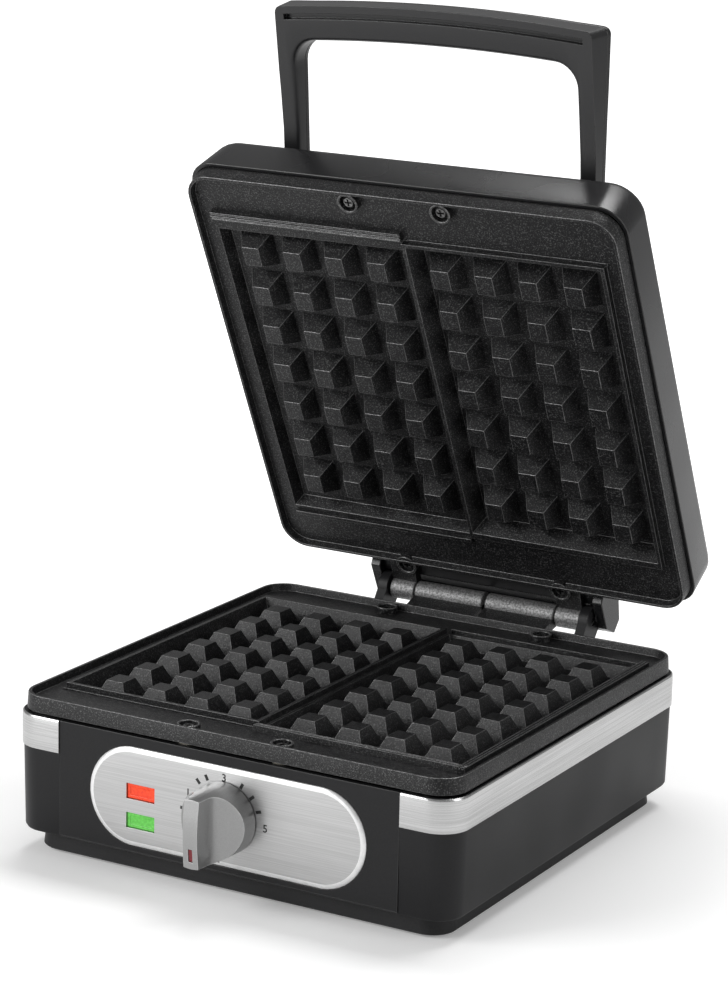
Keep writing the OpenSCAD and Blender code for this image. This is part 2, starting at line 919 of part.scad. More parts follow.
module lamp_holder() {
    color("#d8d4c8")
        difference() {
            translate([window_x - holder_w / 2, holder_y, control_z - 19.5])
                cube([holder_w, 12, 30]);
            for (s = [-1, 1])
                translate([window_x - 7.5, holder_y - 1, control_z - 4.8 + s * window_pitch / 2 - 3.5])
                    cube([15, 9, 7]);
            for (s = [-1, 1])
                translate([window_x, holder_y + 5, control_z - 4.8 + s * window_pitch / 2])
                    rotate([-90, 0, 0])
                        cylinder(r = 1.1, h = 10);
        }
}

module indicator_lamps() {
    color("#f0b070")
        for (s = [-1, 1])
            translate([window_x, 0, control_z - 4.8 + s * window_pitch / 2]) {
                translate([-5.5, holder_y + 5.4, 0])
                    rotate([0, 90, 0])
                        cylinder(r = lamp_r, h = 11);
                translate([0, holder_y + 5.4, 0])
                    rotate([-90, 0, 0])
                        cylinder(r = 0.9, h = 8);
            }
}

// ---------- thermostat and knob ----------

stat_y = face_y + 12;
knob_y = plate_y - 0.6;
bush_r = 4.8;

module thermostat_bracket() {
    color("#b4b6b8")
        difference() {
            union() {
                translate([knob_x - bracket_w / 2, stat_y, control_z - 14])
                    cube([bracket_w, 1.6, shelf_z - control_z + 14 - 0.1]);
                translate([knob_x - bracket_w / 2, stat_y, shelf_z - 1.7])
                    cube([bracket_w, 16, 1.6]);
            }
            translate([knob_x, stat_y - 1, control_z])
                rotate([-90, 0, 0])
                    cylinder(r = bush_r + 0.1, h = 4);
        }
}

module thermostat() {
    color("#e4e0d6")
        difference() {
            union() {
                translate([knob_x - 17, stat_y + 1.7, control_z - 12])
                    cube([34, 17, 24]);
                translate([knob_x, stat_y + 2, control_z])
                    rotate([90, 0, 0])
                        cylinder(r = bush_r, h = 7);
                for (x = [-9, 9])
                    translate([knob_x + x - 3.1, stat_y + 18, control_z - 4])
                        cube([6.2, 9, 0.8]);
            }
            translate([knob_x, stat_y + 10, control_z])
                rotate([90, 0, 0])
                    cylinder(r = shaft_d / 2 + 0.05, h = 20);
        }
}

module thermostat_nut() {
    color("#9a9c9f")
        translate([knob_x, stat_y - 0.05, control_z])
            rotate([90, 0, 0])
                difference() {
                    cylinder(r = 8, h = 2.6, $fn = 6);
                    translate([0, 0, -1])
                        cylinder(r = bush_r + 0.05, h = 5);
                }
}

module thermostat_shaft() {
    color("#b9bbbd")
        translate([knob_x, stat_y + 9.6, control_z])
            rotate([90, 0, 0])
                difference() {
                    cylinder(d = shaft_d, h = shaft_l);
                    translate([-5, shaft_d / 2 - 1.2, shaft_l - 14.5])
                        cube([10, 5, 16]);
                }
}

shaft_l = stat_y + 9.6 - knob_y + 14;

// drawn with its foot at z = 0 and its front at z = knob_h
module knob_body() {
    flank_r = 29.5;
    difference() {
        intersection() {
            union() {
                cylinder(d = knob_d, h = 1.6, $fn = 96);
                translate([0, 0, 1.5])
                    cylinder(r1 = knob_d / 2, r2 = knob_d / 2 - 2.4, h = knob_h - 1.5 + eps, $fn = 96);
            }
            front_curve(0);
            rotate([90, 0, 0])
                linear_extrude(knob_d + 2, center = true)
                    difference() {
                        translate([-knob_d / 2 - 1, 0])
                            square([knob_d + 2, knob_h + 0.5]);
                        for (s = [-1, 1])
                            translate([s * (grip_w / 2 + flank_r), knob_h + 1])
                                circle(flank_r, $fn = 96);
                    }
        }
        translate([0, 0, -1])
            difference() {
                cylinder(r = shaft_d / 2 + 0.05, h = 15.5);
                translate([-5, shaft_d / 2 - 1.1, -1])
                    cube([10, 5, 18]);
            }
        translate([0, 0, -1])
            difference() {
                cylinder(r = knob_d / 2 - 2.2, h = 6);
                translate([0, 0, -1])
                    cylinder(r = shaft_d / 2 + 3, h = 8);
            }
        pointer_slot(0.02, 3);
    }
}

// the grip's front is curved from end to end
module front_curve(lower) {
    translate([-knob_d, 0, knob_h - 95])
        rotate([0, 90, 0])
            cylinder(r = 95 - lower, h = 2 * knob_d, $fn = 360);
}

// slot for the coloured mark, near the lower end of the grip
module pointer_slot(grow, h) {
    translate([0, -knob_d / 2 + 8.2, knob_h - 2.2])
        linear_extrude(h)
            stadium_y(6.8 + 2 * grow, 2.4 + 2 * grow);
}

module stadium_y(l, w) {
    square([w, l - w], center = true);
    for (s = [-1, 1])
        translate([0, s * (l - w) / 2])
            circle(d = w);
}

module at_knob() {
    translate([knob_x, knob_y, control_z])
        rotate([90, 0, 0])
            children();
}

module knob() {
    color("#8b8c8e")
        at_knob()
            knob_body();
}

module knob_pointer() {
    color("#b3202c")
        at_knob()
            intersection() {
                pointer_slot(0, 2.5);
                front_curve(0.25);
            }
}

bulb_z = deck_z - pocket_h - pan_t - 2.6;

module sensor_bulb() {
    color("#b87a4b") {
        translate([-20, -30, bulb_z])
            rotate([0, 90, 0])
                cylinder(r = 2.4, h = 60);
        wire([[-20, -30, bulb_z], [-26, -30, bulb_z], [-26, -50, bulb_z], [-26, -50, bulb_z - 16],
            [-26, stat_y + 18, bulb_z - 16], [-26, stat_y + 10, control_z],
            [knob_x - 17.3, stat_y + 10, control_z]], 0.8);
    }
}

// ---------- small electrical parts in the base ----------

cover_floor = plinth_z + 2.6;
block = [half_w - 67, half_d - 58.3];

module terminal_block() {
    color("#e8e4da")
        difference() {
            translate([block[0] - 15, block[1] - 9, cover_floor + 0.1])
                cube([30, 18, 14]);
            for (x = [-9, 0, 9]) {
                translate([block[0] + x, block[1], cover_floor + 6])
                    cylinder(r = 2.2, h = 12);
                translate([block[0] + x, block[1] - 12, cover_floor + 6.5])
                    rotate([-90, 0, 0])
                        cylinder(r = 1.8, h = 24);
            }
        }
}

module thermal_fuse() {
    color("#d9d2b8")
        translate([-52, 20, deck_z - pocket_h - pan_t - 2.9])
            rotate([0, 90, 0]) {
                cylinder(r = 2.7, h = 18);
                translate([0, 0, -8])
                    cylinder(r = 0.8, h = 34);
            }
}

wire_r = 1.4;
heat_pin_y = heat_back + 49;
heat_pin_z = deck_z + tube_z;

module base_wiring() {
    color("#c8302a") {
        wire([[block[0] - 9, block[1] + 9.1, cover_floor + 6.5], [block[0] - 9, block[1] + 22, cover_floor + 8],
            [heat_leg, heat_pin_y + 2.6, cover_floor + 30], [heat_leg, heat_pin_y + 2.6, heat_pin_z]], wire_r);
        wire([[block[0], block[1] - 9.1, cover_floor + 6.5], [block[0] - 6, block[1] - 30, cover_floor + 4],
            [knob_x + 10, stat_y + 56, cover_floor + 4], [knob_x + 9, stat_y + 36, control_z - 3.6],
            [knob_x + 9, stat_y + 27.3, control_z - 3.6]], wire_r);
        wire([[knob_x - 9, stat_y + 27.3, control_z - 3.6], [knob_x - 9, stat_y + 38, control_z - 3.6],
            [knob_x - 30, stat_y + 56, cover_floor + 8], [-40, heat_pin_y - 20, cover_floor + 12],
            [-heat_leg, heat_pin_y + 2.6, cover_floor + 30],
            [-heat_leg, heat_pin_y + 2.6, heat_pin_z]], wire_r);
        wire([[block[0] + 9, block[1] + 9.1, cover_floor + 6.5], [block[0] + 14, block[1] + 22, cover_floor + 12],
            [gland[0], half_d - 16, gland[1]], [gland[0], half_d - wall - 3.4, gland[1]]], wire_r);
    }
}

// ---------- plinth ----------

plinth_w = body_w - 2 * plinth_inset - 2 * plinth_draft;
plinth_d = body_d - 2 * plinth_inset - 2 * plinth_draft;
foot_at = [half_w - 39, half_d - 38.3];

module base_cover() {
    color("#2a2b2d")
        difference() {
            union() {
                wall_round(plinth_w, plinth_d, 12)
                    polygon([[-3, plinth_z], [plinth_draft - 0.8, plinth_z], [plinth_draft, plinth_z + 0.8],
                        [0, housing_z + 0.1], [4.1, housing_z + 0.1], [4.1, housing_z + 2],
                        [-2.6, housing_z + 2], [-2.2, plinth_z + 2.6], [-3, plinth_z + 2.6]]);
                translate([0, 0, plinth_z])
                    slab(plinth_w - 5, plinth_d - 5, 9.5, 2.6);
                for (x = [-1, 1], y = [-1, 1])
                    translate([x * cover_screw[0], y * (cover_screw[1] - 4), 0])
                        translate([0, y * 4, plinth_z])
                            cylinder(r = 4.8, h = housing_z + 2.2 - plinth_z);
            }
            for (x = [-1, 1], y = [-1, 1]) {
                translate([x * cover_screw[0], y * cover_screw[1], plinth_z - 1]) {
                    cylinder(r = 2, h = 30);
                    cylinder(r = 3.4, h = 7);
                }
                translate([x * foot_at[0], y * foot_at[1], plinth_z - 1])
                    cylinder(r = 3.1, h = 6);
            }
            for (s = [-1, 1], k = [-4:4])
                translate([s * 38, k * 9, plinth_z - 1]) {
                    translate([-16, -1.6, 0])
                        cube([32, 3.2, 6]);
                    for (e = [-1, 1])
                        translate([e * 16, 0, 0])
                            cylinder(r = 1.6, h = 6);
                }
        }
}

module base_cover_screws() {
    color("#9a9c9f")
        for (x = [-1, 1], y = [-1, 1])
            translate([x * cover_screw[0], y * cover_screw[1], plinth_z + 6])
                rotate([180, 0, 0])
                    screw(1.55, 20, 3.2, 2.2);
}

module rubber_feet() {
    color("#171717")
        for (x = [-1, 1], y = [-1, 1])
            translate([x * foot_at[0], y * foot_at[1], 0])
                rotate_extrude()
                    polygon([[0, 0], [8, 0], [9, 0.6], [9, foot_show], [3, foot_show], [3, plinth_z + 2.7],
                        [4.6, plinth_z + 2.7], [2.6, plinth_z + 5], [0, plinth_z + 5]]);
}

module cord_gland() {
    color("#1a1a1b")
        translate([gland[0], half_d - band_proud, gland[1]])
            rotate([90, 0, 0])
                let (back = wall - band_proud)
                    rotate_extrude()
                        polygon([[3.2, -3], [7.4, -3], [8.2, -2.2], [8.2, 0], [gland_r - 0.1, 0],
                            [gland_r - 0.1, back + 0.1], [7, back + 0.1], [6.6, back + 2.6], [3.2, back + 2.6]]);
}

module plate_spacers() {
    color("#ded9cc")
        for (p = [front_screw, back_screw], s = [-1, 1])
            translate([s * p[0], p[1], shelf_z + shelf_t])
                ring(4.6, screw_r + 0.3, deck_z - deck_t - 1 - shelf_z - shelf_t);
}

// ---------- lid ----------

// the lid's outside, as rounded plans stacked up its height and drawn together
module lid_body(t) {
    edge = lid_edge_z;
    lean = 2.1;
    back = 2.6;
    hull() {
        translate([0, 0, lid_z])
            slab(body_w - 2 * t, body_d - 2 * t, corner_r - t, eps);
        translate([0, back * 0.8, edge - 5])
            slab(body_w - 2 * lean * 0.8 - 2 * t, body_d - 2 * t, corner_r + 1 - t, eps);
        translate([0, back, edge - 2.2 - t * 0.5])
            slab(body_w - 2 * lean - 2.4 - 2 * t, body_d - 2.2 - 2 * t, corner_r + 1 - t, eps);
        translate([0, back, edge - t])
            slab(body_w - 2 * lean - 7 - 2 * t, body_d - 6.5 - 2 * t, corner_r - t, eps);
        translate([0, back - 1.2, edge + crown_h * 0.78 - t])
            slab(body_w - 38 - 2 * t, body_d - 38 - 2 * t, corner_r + 4, eps);
        translate([0, back - 1.2, edge + crown_h - t])
            slab(body_w - 74 - 2 * t, body_d - 74 - 2 * t, corner_r + 6, eps);
    }
}

ear_out = 72;
ear_in = 66;

// side view of the cover over the hinge, measured from the pin
module hump_profile() {
    translate([hinge_y, hinge_z])
        polygon([[-24, 6], [-24, 26.5], [-15, 24.3], [10.4, 16.1], [13.4, 8], [5, 0.9], [-13.3, 0.9], [-17.4, 6]]);
}

module hump() {
    difference() {
        translate([-ear_out, 0, 0])
            rotate([90, 0, 90])
                linear_extrude(2 * ear_out)
                    hump_profile();
        // room for the arms, knuckles and leaves
        translate([-ear_in, hinge_y, hinge_z])
            rotate([0, 90, 0])
                cylinder(r = cheek_r + 1, h = 2 * ear_in);
        translate([-ear_in, hinge_y - 30, hinge_z - 12])
            cube([2 * ear_in, 42, 17]);
        for (s = [0, 1])
            mirror([s, 0, 0])
                translate([knuckle_mid, hinge_y - 30, hinge_z - 12])
                    cube([knuckle_end - knuckle_mid + 1.2, 32, lid_z - hinge_z + 12]);
        translate([-ear_out - 1, hinge_y - 30, hinge_z - 12])
            cube([2 * ear_out + 2, half_d + 0.4 - hinge_y + 30, lid_z - hinge_z + 12]);
        for (s = [-1, 1])
            translate([s * lug_screw[0], lug_screw[1], hinge_z - 12])
                cylinder(r = 6.5, h = lid_z - hinge_z + 12);
    }
}

post_r = 4.6;

module lid_shell() {
    color("#1c1d1f")
        on_lid()
            difference() {
                union() {
                    difference() {
                        union() {
                            lid_body(0);
                            handle_pads();
                        }
                        difference() {
                            translate([0, 0, -0.5])
                                lid_body(lid_wall);
                            for (s = [-1, 1])
                                translate([s * front_screw[0], front_screw[1], lid_z - 2])
                                    cylinder(r = post_r, h = 60);
                        }
                    }
                    hump();
                    for (s = [-1, 1]) {
                        translate([s * front_screw[0], front_screw[1], upper_deck_z + deck_t + 1.05])
                            cylinder(r = post_r, h = 6);
                        translate([s * lug_screw[0], lug_screw[1], upper_deck_z + skirt_h + 0.05])
                            cylinder(r = post_r, h = 12);
                    }
                }
                for (s = [-1, 1]) {
                    translate([s * front_screw[0], front_screw[1], upper_deck_z])
                        cylinder(r = screw_r + 0.05, h = 20);
                    translate([s * lug_screw[0], lug_screw[1], upper_deck_z])
                        cylinder(r = screw_r + 0.05, h = 14);
                }
                in_handle()
                    for (s = [-1, 1]) {
                        translate([s * leg_x, leg_foot + 3, handle_t / 2])
                            rotate([90, 0, 0])
                                cylinder(r = 2.1, h = 40);
                        translate([s * leg_x, leg_foot - handle_seat, handle_t / 2])
                            rotate([90, 0, 0])
                                cylinder(r = 3.7, h = 24);
                    }
            }
}

// ---------- handle ----------
// drawn with X across, Y along the reach and Z from the front face back

handle_at = [-half_d + 3.7, lid_edge_z + 16.5];
leg_foot = -16;
handle_seat = 12;
leg_x = (hand_w + leg_w) / 2;
leg_out = hand_w / 2 + leg_w;
top_out = leg_out + 3.3;
crown_c = handle_l - crown_r;
inner_r = crown_r - bar_h;
corner_x = hand_w / 2 - 12;
corner_y = crown_c + sqrt(pow(inner_r - 12, 2) - pow(corner_x, 2));

module in_handle() {
    translate([0, handle_at[0], handle_at[1]])
        rotate([180 - handle_tilt, 0, 0])
            mirror([0, 0, 1])
                children();
}

module handle_pads() {
    in_handle()
        for (s = [-1, 1])
            translate([s * leg_x - leg_w / 2 - 0.6, leg_foot - 26, 0.4])
                cube([leg_w + 1.2, 26, handle_t - 0.8]);
}

// the opening for the hand, seen square on
module hand_opening() {
    turns = [0:15:75];
    right = [for (a = turns) [corner_x + 12 * cos(a), corner_y + 12 * sin(a)]];
    left = [for (a = turns) [-corner_x - 12 * cos(75 - a), corner_y + 12 * sin(75 - a)]];
    intersection() {
        translate([0, crown_c])
            circle(inner_r, $fn = 720);
        polygon(concat([[-hand_w / 2, leg_foot - 1], [hand_w / 2, leg_foot - 1]], right,
            [[corner_x - 5, corner_y + 14], [5 - corner_x, corner_y + 14]], left));
    }
}

// crowned bar on two legs that spread a little, seen square on
module handle_outline() {
    difference() {
        intersection() {
            translate([0, crown_c])
                circle(crown_r, $fn = 720);
            polygon([[-leg_out - 0.3, leg_foot], [leg_out + 0.3, leg_foot], [top_out, handle_l - 9],
                [top_out - 1.2, handle_l - 6], [top_out - 3.6, handle_l - 3], [0, handle_l + 4],
                [3.6 - top_out, handle_l - 3], [1.2 - top_out, handle_l - 6], [-top_out, handle_l - 9]]);
        }
        hand_opening();
    }
}

// takes a bevel off one long edge of the bar, r outwards from the crown's centre
module bar_edge(r, z, a, b) {
    translate([0, crown_c, 0])
        rotate([0, 0, 90 - 8])
            rotate_extrude(angle = 16, $fn = 400)
                polygon([[r - a, z], [r, z - b], [r, z + b], [r + a, z]]);
}

module handle_u() {
    difference() {
        intersection() {
            translate([0, 0, -2 * grip_swell])
                linear_extrude(handle_t + 2 * grip_swell)
                    handle_outline();
            translate([-top_out - 1, 0, 0])
                rotate([90, 0, 90])
                    linear_extrude(2 * top_out + 2)
                        polygon([[-60, 0], [0, 0], [80, -80 * grip_swell / handle_l], [80, handle_t], [-60, handle_t]]);
        }
        for (s = [0, 1])
            mirror([s, 0, 0])
                multmatrix([[1, 0.0114, 0.199, leg_out - 0.0114 * leg_foot], [0, 1, 0, 0], [0, 0, 1, 0]])
                    translate([0, -60, -20])
                        cube([30, 200, 60]);
    }
}

seam_t = 7.8;

module groove() {
    half = asin((leg_out - 5.5) / crown_r);
    translate([0, crown_c, 0])
        rotate([0, 0, 90 - half])
            rotate_extrude(angle = 2 * half, $fn = 400)
                translate([crown_r - 7.9, -grip_swell - 2])
                    square([2.8, 2 + grip_swell * (1 - (handle_l - 7.9) / handle_l) + 1]);
}

module handle() {
    color("#26272a")
        on_lid()
            in_handle()
                difference() {
                    handle_u();
                    translate([-200, -100, seam_t])
                        cube([400, 300, 20]);
                    groove();
                    for (s = [-1, 1])
                        translate([s * leg_x, leg_foot + 14, handle_t / 2])
                            rotate([90, 0, 0])
                                cylinder(r = 1.6, h = 20);
                }
}

module handle_back() {
    color("#26272a")
        on_lid()
            in_handle()
                difference() {
                    handle_u();
                    translate([-200, -100, seam_t - 20 + 0.05])
                        cube([400, 300, 20]);
                    for (s = [-1, 1])
                        translate([s * leg_x, leg_foot + 14, handle_t / 2])
                            rotate([90, 0, 0])
                                cylinder(r = 2.1, h = 20);
                }
}

module handle_screws() {
    color("#9a9c9f")
        on_lid()
            in_handle()
                for (s = [-1, 1])
                    translate([s * leg_x, leg_foot - handle_seat, handle_t / 2])
                        rotate([90, 0, 0])
                            screw(1.55, 24, 3.4, 2.2);
}

base_housing();
hinge_arms();
hinge_arm_screws();
front_panel();
side_band();
control_plate();
red_lens();
green_lens();
lamp_holder();
indicator_lamps();
panel_screws();
thermostat();
thermostat_bracket();
thermostat_nut();
sensor_bulb();
lower_plate();
lower_heater();
lower_heater_clips();
lower_reflector();
lower_reflector_screws();
lower_plate_screws();
plate_spacers();
thermal_fuse();
terminal_block();
base_wiring();
base_cover();
base_cover_screws();
rubber_feet();
cord_gland();
hinge_pin();
knob();
knob_pointer();
thermostat_shaft();
upper_plate();
upper_heater();
upper_heater_clips();
upper_reflector();
upper_reflector_screws();
upper_plate_screws();
lid_shell();
handle();
handle_back();
handle_screws();
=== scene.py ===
import json
import math
import bpy
import bmesh
from mathutils import Matrix, Vector


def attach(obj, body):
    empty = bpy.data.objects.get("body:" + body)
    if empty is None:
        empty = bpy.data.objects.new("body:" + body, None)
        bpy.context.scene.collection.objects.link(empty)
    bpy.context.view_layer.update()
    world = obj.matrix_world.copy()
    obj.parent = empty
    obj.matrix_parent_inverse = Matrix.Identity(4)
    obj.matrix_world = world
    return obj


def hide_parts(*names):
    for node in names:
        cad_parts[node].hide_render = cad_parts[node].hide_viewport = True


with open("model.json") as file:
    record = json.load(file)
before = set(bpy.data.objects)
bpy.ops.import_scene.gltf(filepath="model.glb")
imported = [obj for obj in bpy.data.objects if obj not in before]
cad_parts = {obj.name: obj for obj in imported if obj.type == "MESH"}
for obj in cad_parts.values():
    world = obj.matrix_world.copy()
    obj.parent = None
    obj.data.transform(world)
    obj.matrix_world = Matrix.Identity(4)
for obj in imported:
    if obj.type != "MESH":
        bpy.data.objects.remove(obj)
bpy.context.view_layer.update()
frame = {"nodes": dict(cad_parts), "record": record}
print("frame loaded")

# pieces are drawn in millimetres and scaled down as they are finished
toMetres = Matrix.Scale(0.001, 4)

lid = {"pinY": 146.0, "pinZ": 85.5, "open": 63.2}
swingOpen = (Matrix.Translation((0, lid["pinY"], lid["pinZ"]))
             @ Matrix.Rotation(math.radians(-lid["open"]), 4, "X")
             @ Matrix.Translation((0, -lid["pinY"], -lid["pinZ"])))


# node helpers

def grey(value):
    return (value, value, value)


# a value carried from one span to another
def remapped(nodes, links, value, source, target, curve="LINEAR"):
    made = nodes.new("ShaderNodeMapRange")
    made.interpolation_type = curve
    for key, number in zip(("From Min", "From Max", "To Min", "To Max"), source + target):
        made.inputs[key].default_value = number
    links.new(value, made.inputs["Value"])
    return made.outputs["Result"]


# camera, floor and light

view = {"azimuth": 29.40, "elevation": 14.15, "roll": 1.40, "lens": 121.538, "sensor": 36, "far": 50,
        "place": (0.8074, -1.4294, 0.5935)}


def placeCamera():
    data = bpy.data.cameras.new("camera")
    data.lens = view["lens"]
    data.sensor_width = view["sensor"]
    data.clip_end = view["far"]
    camera = bpy.data.objects.new("camera", data)
    bpy.context.scene.collection.objects.link(camera)
    turn = (Matrix.Rotation(math.radians(view["azimuth"]), 4, "Z")
            @ Matrix.Rotation(math.radians(90 - view["elevation"]), 4, "X")
            @ Matrix.Rotation(math.radians(view["roll"]), 4, "Z"))
    camera.matrix_world = Matrix.Translation(view["place"]) @ turn
    bpy.context.scene.camera = camera


# lights as name, place, aim, width, height and power
studio = {"world": 0.36, "floorHalf": 6, "floorTone": 0.9, "floorLift": (0.2, 1.0), "liftReach": (0.35, 1.1),
          "lights": [
              ("key", (-1.5, -1.7, 1.3), (0.0, 0.0, 0.15), 1.2, 1.0, 26),
              ("right", (1.9, -0.1, 0.8), (0.0, 0.0, 0.15), 0.9, 1.4, 8),
              ("low", (-1.1, -1.9, 0.3), (0.0, 0.0, 0.1), 1.2, 0.5, 9),
              ("top", (0.0, 1.0, 2.3), (0.0, 0.0, 0.2), 1.8, 1.0, 42)]}


def lightStudio():
    for name, place, aim, wide, high, power in studio["lights"]:
        data = bpy.data.lights.new(name, "AREA")
        data.shape = "RECTANGLE"
        data.size, data.size_y, data.energy = wide, high, power
        lamp = bpy.data.objects.new(name, data)
        lamp.location = place
        lamp.rotation_euler = (Vector(aim) - Vector(place)).to_track_quat("-Z", "Y").to_euler()
        bpy.context.scene.collection.objects.link(lamp)
    world = bpy.data.worlds.new("studio")
    bpy.context.scene.world = world
    world.use_nodes = True
    nodes, links = world.node_tree.nodes, world.node_tree.links
    nodes.clear()
    out = nodes.new("ShaderNodeOutputWorld")
    paper = nodes.new("ShaderNodeBackground")
    paper.inputs["Color"].default_value = (1, 1, 1, 1)
    paper.inputs["Strength"].default_value = 1.0
    room = nodes.new("ShaderNodeBackground")
    room.inputs["Strength"].default_value = studio["world"]
    mix = nodes.new("ShaderNodeMixShader")
    links.new(seenRays(nodes, links), mix.inputs["Fac"])
    links.new(room.outputs[0], mix.inputs[1])
    links.new(paper.outputs[0], mix.inputs[2])
    links.new(mix.outputs[0], out.inputs["Surface"])
    bpy.context.scene.view_settings.view_transform = "Standard"


# rays that look at the paper, straight or through glass
def seenRays(nodes, links):
    path = nodes.new("ShaderNodeLightPath")
    either = nodes.new("ShaderNodeMath")
    either.operation = "MAXIMUM"
    links.new(path.outputs["Is Camera Ray"], either.inputs[0])
    links.new(path.outputs["Is Transmission Ray"], either.inputs[1])
    return either.outputs[0]


def layFloor():
    bm = bmesh.new()
    bmesh.ops.create_grid(bm, x_segments=1, y_segments=1, size=studio["floorHalf"])
    mesh = bpy.data.meshes.new("floor")
    bm.to_mesh(mesh)
    bm.free()
    floor = bpy.data.objects.new("floor", mesh)
    bpy.context.scene.collection.objects.link(floor)
    material = bpy.data.materials.new("paleFloor")
    material.use_nodes = True
    nodes, links = material.node_tree.nodes, material.node_tree.links
    nodes.clear()
    out = nodes.new("ShaderNodeOutputMaterial")
    chalk = nodes.new("ShaderNodeBsdfDiffuse")
    chalk.inputs["Color"].default_value = grey(studio["floorTone"]) + (1,)
    glow = nodes.new("ShaderNodeEmission")
    both = nodes.new("ShaderNodeAddShader")
    # the paper brightens away from the appliance, so that its far side stays white
    away = nodes.new("ShaderNodeVectorMath")
    away.operation = "LENGTH"
    links.new(nodes.new("ShaderNodeTexCoord").outputs["Object"], away.inputs[0])
    fade = remapped(nodes, links, away.outputs["Value"], studio["liftReach"], studio["floorLift"])
    lift = nodes.new("ShaderNodeMath")
    lift.operation = "MULTIPLY"
    links.new(fade, lift.inputs[1])
    links.new(seenRays(nodes, links), lift.inputs[0])
    links.new(lift.outputs[0], glow.inputs["Strength"])
    links.new(chalk.outputs[0], both.inputs[0])
    links.new(glow.outputs[0], both.inputs[1])
    links.new(both.outputs[0], out.inputs["Surface"])
    floor.data.materials.append(material)


placeCamera()
lightStudio()
layFloor()
print("camera, light and floor ready")


# finishes: two tones mixed by a grain, uneven gloss, flecks, worn edges and fine relief

mixing = {"grain": (0.34, 0.66), "cloud": (0.2, 0.8), "fleck": 0.08, "shade": grey(0.62), "roughness": 0.62,
          "grainDetail": 5, "cloudDetail": 1, "fleckDetail": 2, "cloudScale": 18, "uneven": 0.25,
          "even": (1, 1, 1)}


def makeFinish(name, look):
    material = bpy.data.materials.new(name)
    material.use_nodes = True
    nodes, links = material.node_tree.nodes, material.node_tree.links
    shader = nodes["Principled BSDF"]
    place = nodes.new("ShaderNodeTexCoord").outputs["Object"]

    def noise(scale, detail, stretch=mixing["even"]):
        spread = nodes.new("ShaderNodeMapping")
        spread.inputs["Scale"].default_value = stretch
        links.new(place, spread.inputs["Vector"])
        made = nodes.new("ShaderNodeTexNoise")
        made.inputs["Scale"].default_value = scale
        made.inputs["Detail"].default_value = detail
        made.inputs["Roughness"].default_value = mixing["roughness"]
        links.new(spread.outputs["Vector"], made.inputs["Vector"])
        return made.outputs["Fac"]

    def remap(value, source, target=(0, 1)):
        return remapped(nodes, links, value, source, target, "SMOOTHSTEP")

    def blend(amount, first, second, way="MIX"):
        made = nodes.new("ShaderNodeMix")
        made.data_type = "RGBA"
        made.blend_type = way
        links.new(amount, made.inputs[0])
        for socket, colour in ((made.inputs[6], first), (made.inputs[7], second)):
            if isinstance(colour, tuple):
                socket.default_value = colour + (1,)
            else:
                links.new(colour, socket)
        return made.outputs[2]

    grain = noise(look["grain"], mixing["grainDetail"], look.get("stretch", mixing["even"]))
    cloud = noise(look.get("cloud", mixing["cloudScale"]), mixing["cloudDetail"])
    tone = blend(remap(grain, mixing["grain"]), look["dark"], look["light"])
    uneven = remap(cloud, mixing["cloud"], (0, look.get("uneven", mixing["uneven"])))
    tone = blend(uneven, tone, mixing["shade"], "MULTIPLY")
    gloss = remap(cloud, mixing["cloud"], look["rough"])
    if "speckle" in look:
        fleck = look["speckle"]
        flecks = remap(noise(fleck["scale"], mixing["fleckDetail"]),
                       (fleck["from"], fleck["from"] + mixing["fleck"]))
        tone = blend(flecks, tone, fleck["tone"])
    if "wear" in look:
        wear = look["wear"]
        point = nodes.new("ShaderNodeNewGeometry").outputs["Pointiness"]
        tone = blend(remap(point, (wear["from"], wear["to"]), (0, wear["amount"])), tone, wear["tone"])
    links.new(tone, shader.inputs["Base Color"])
    links.new(gloss, shader.inputs["Roughness"])
    shader.inputs["Metallic"].default_value = look.get("metal", 0.0)
    relief = nodes.new("ShaderNodeBump")
    relief.inputs["Strength"].default_value, relief.inputs["Distance"].default_value = look["relief"]
    links.new(grain, relief.inputs["Height"])
    links.new(relief.outputs["Normal"], shader.inputs["Normal"])
    for socket, value in look.get("sockets", {}).items():
        shader.inputs[socket].default_value = value
    return material


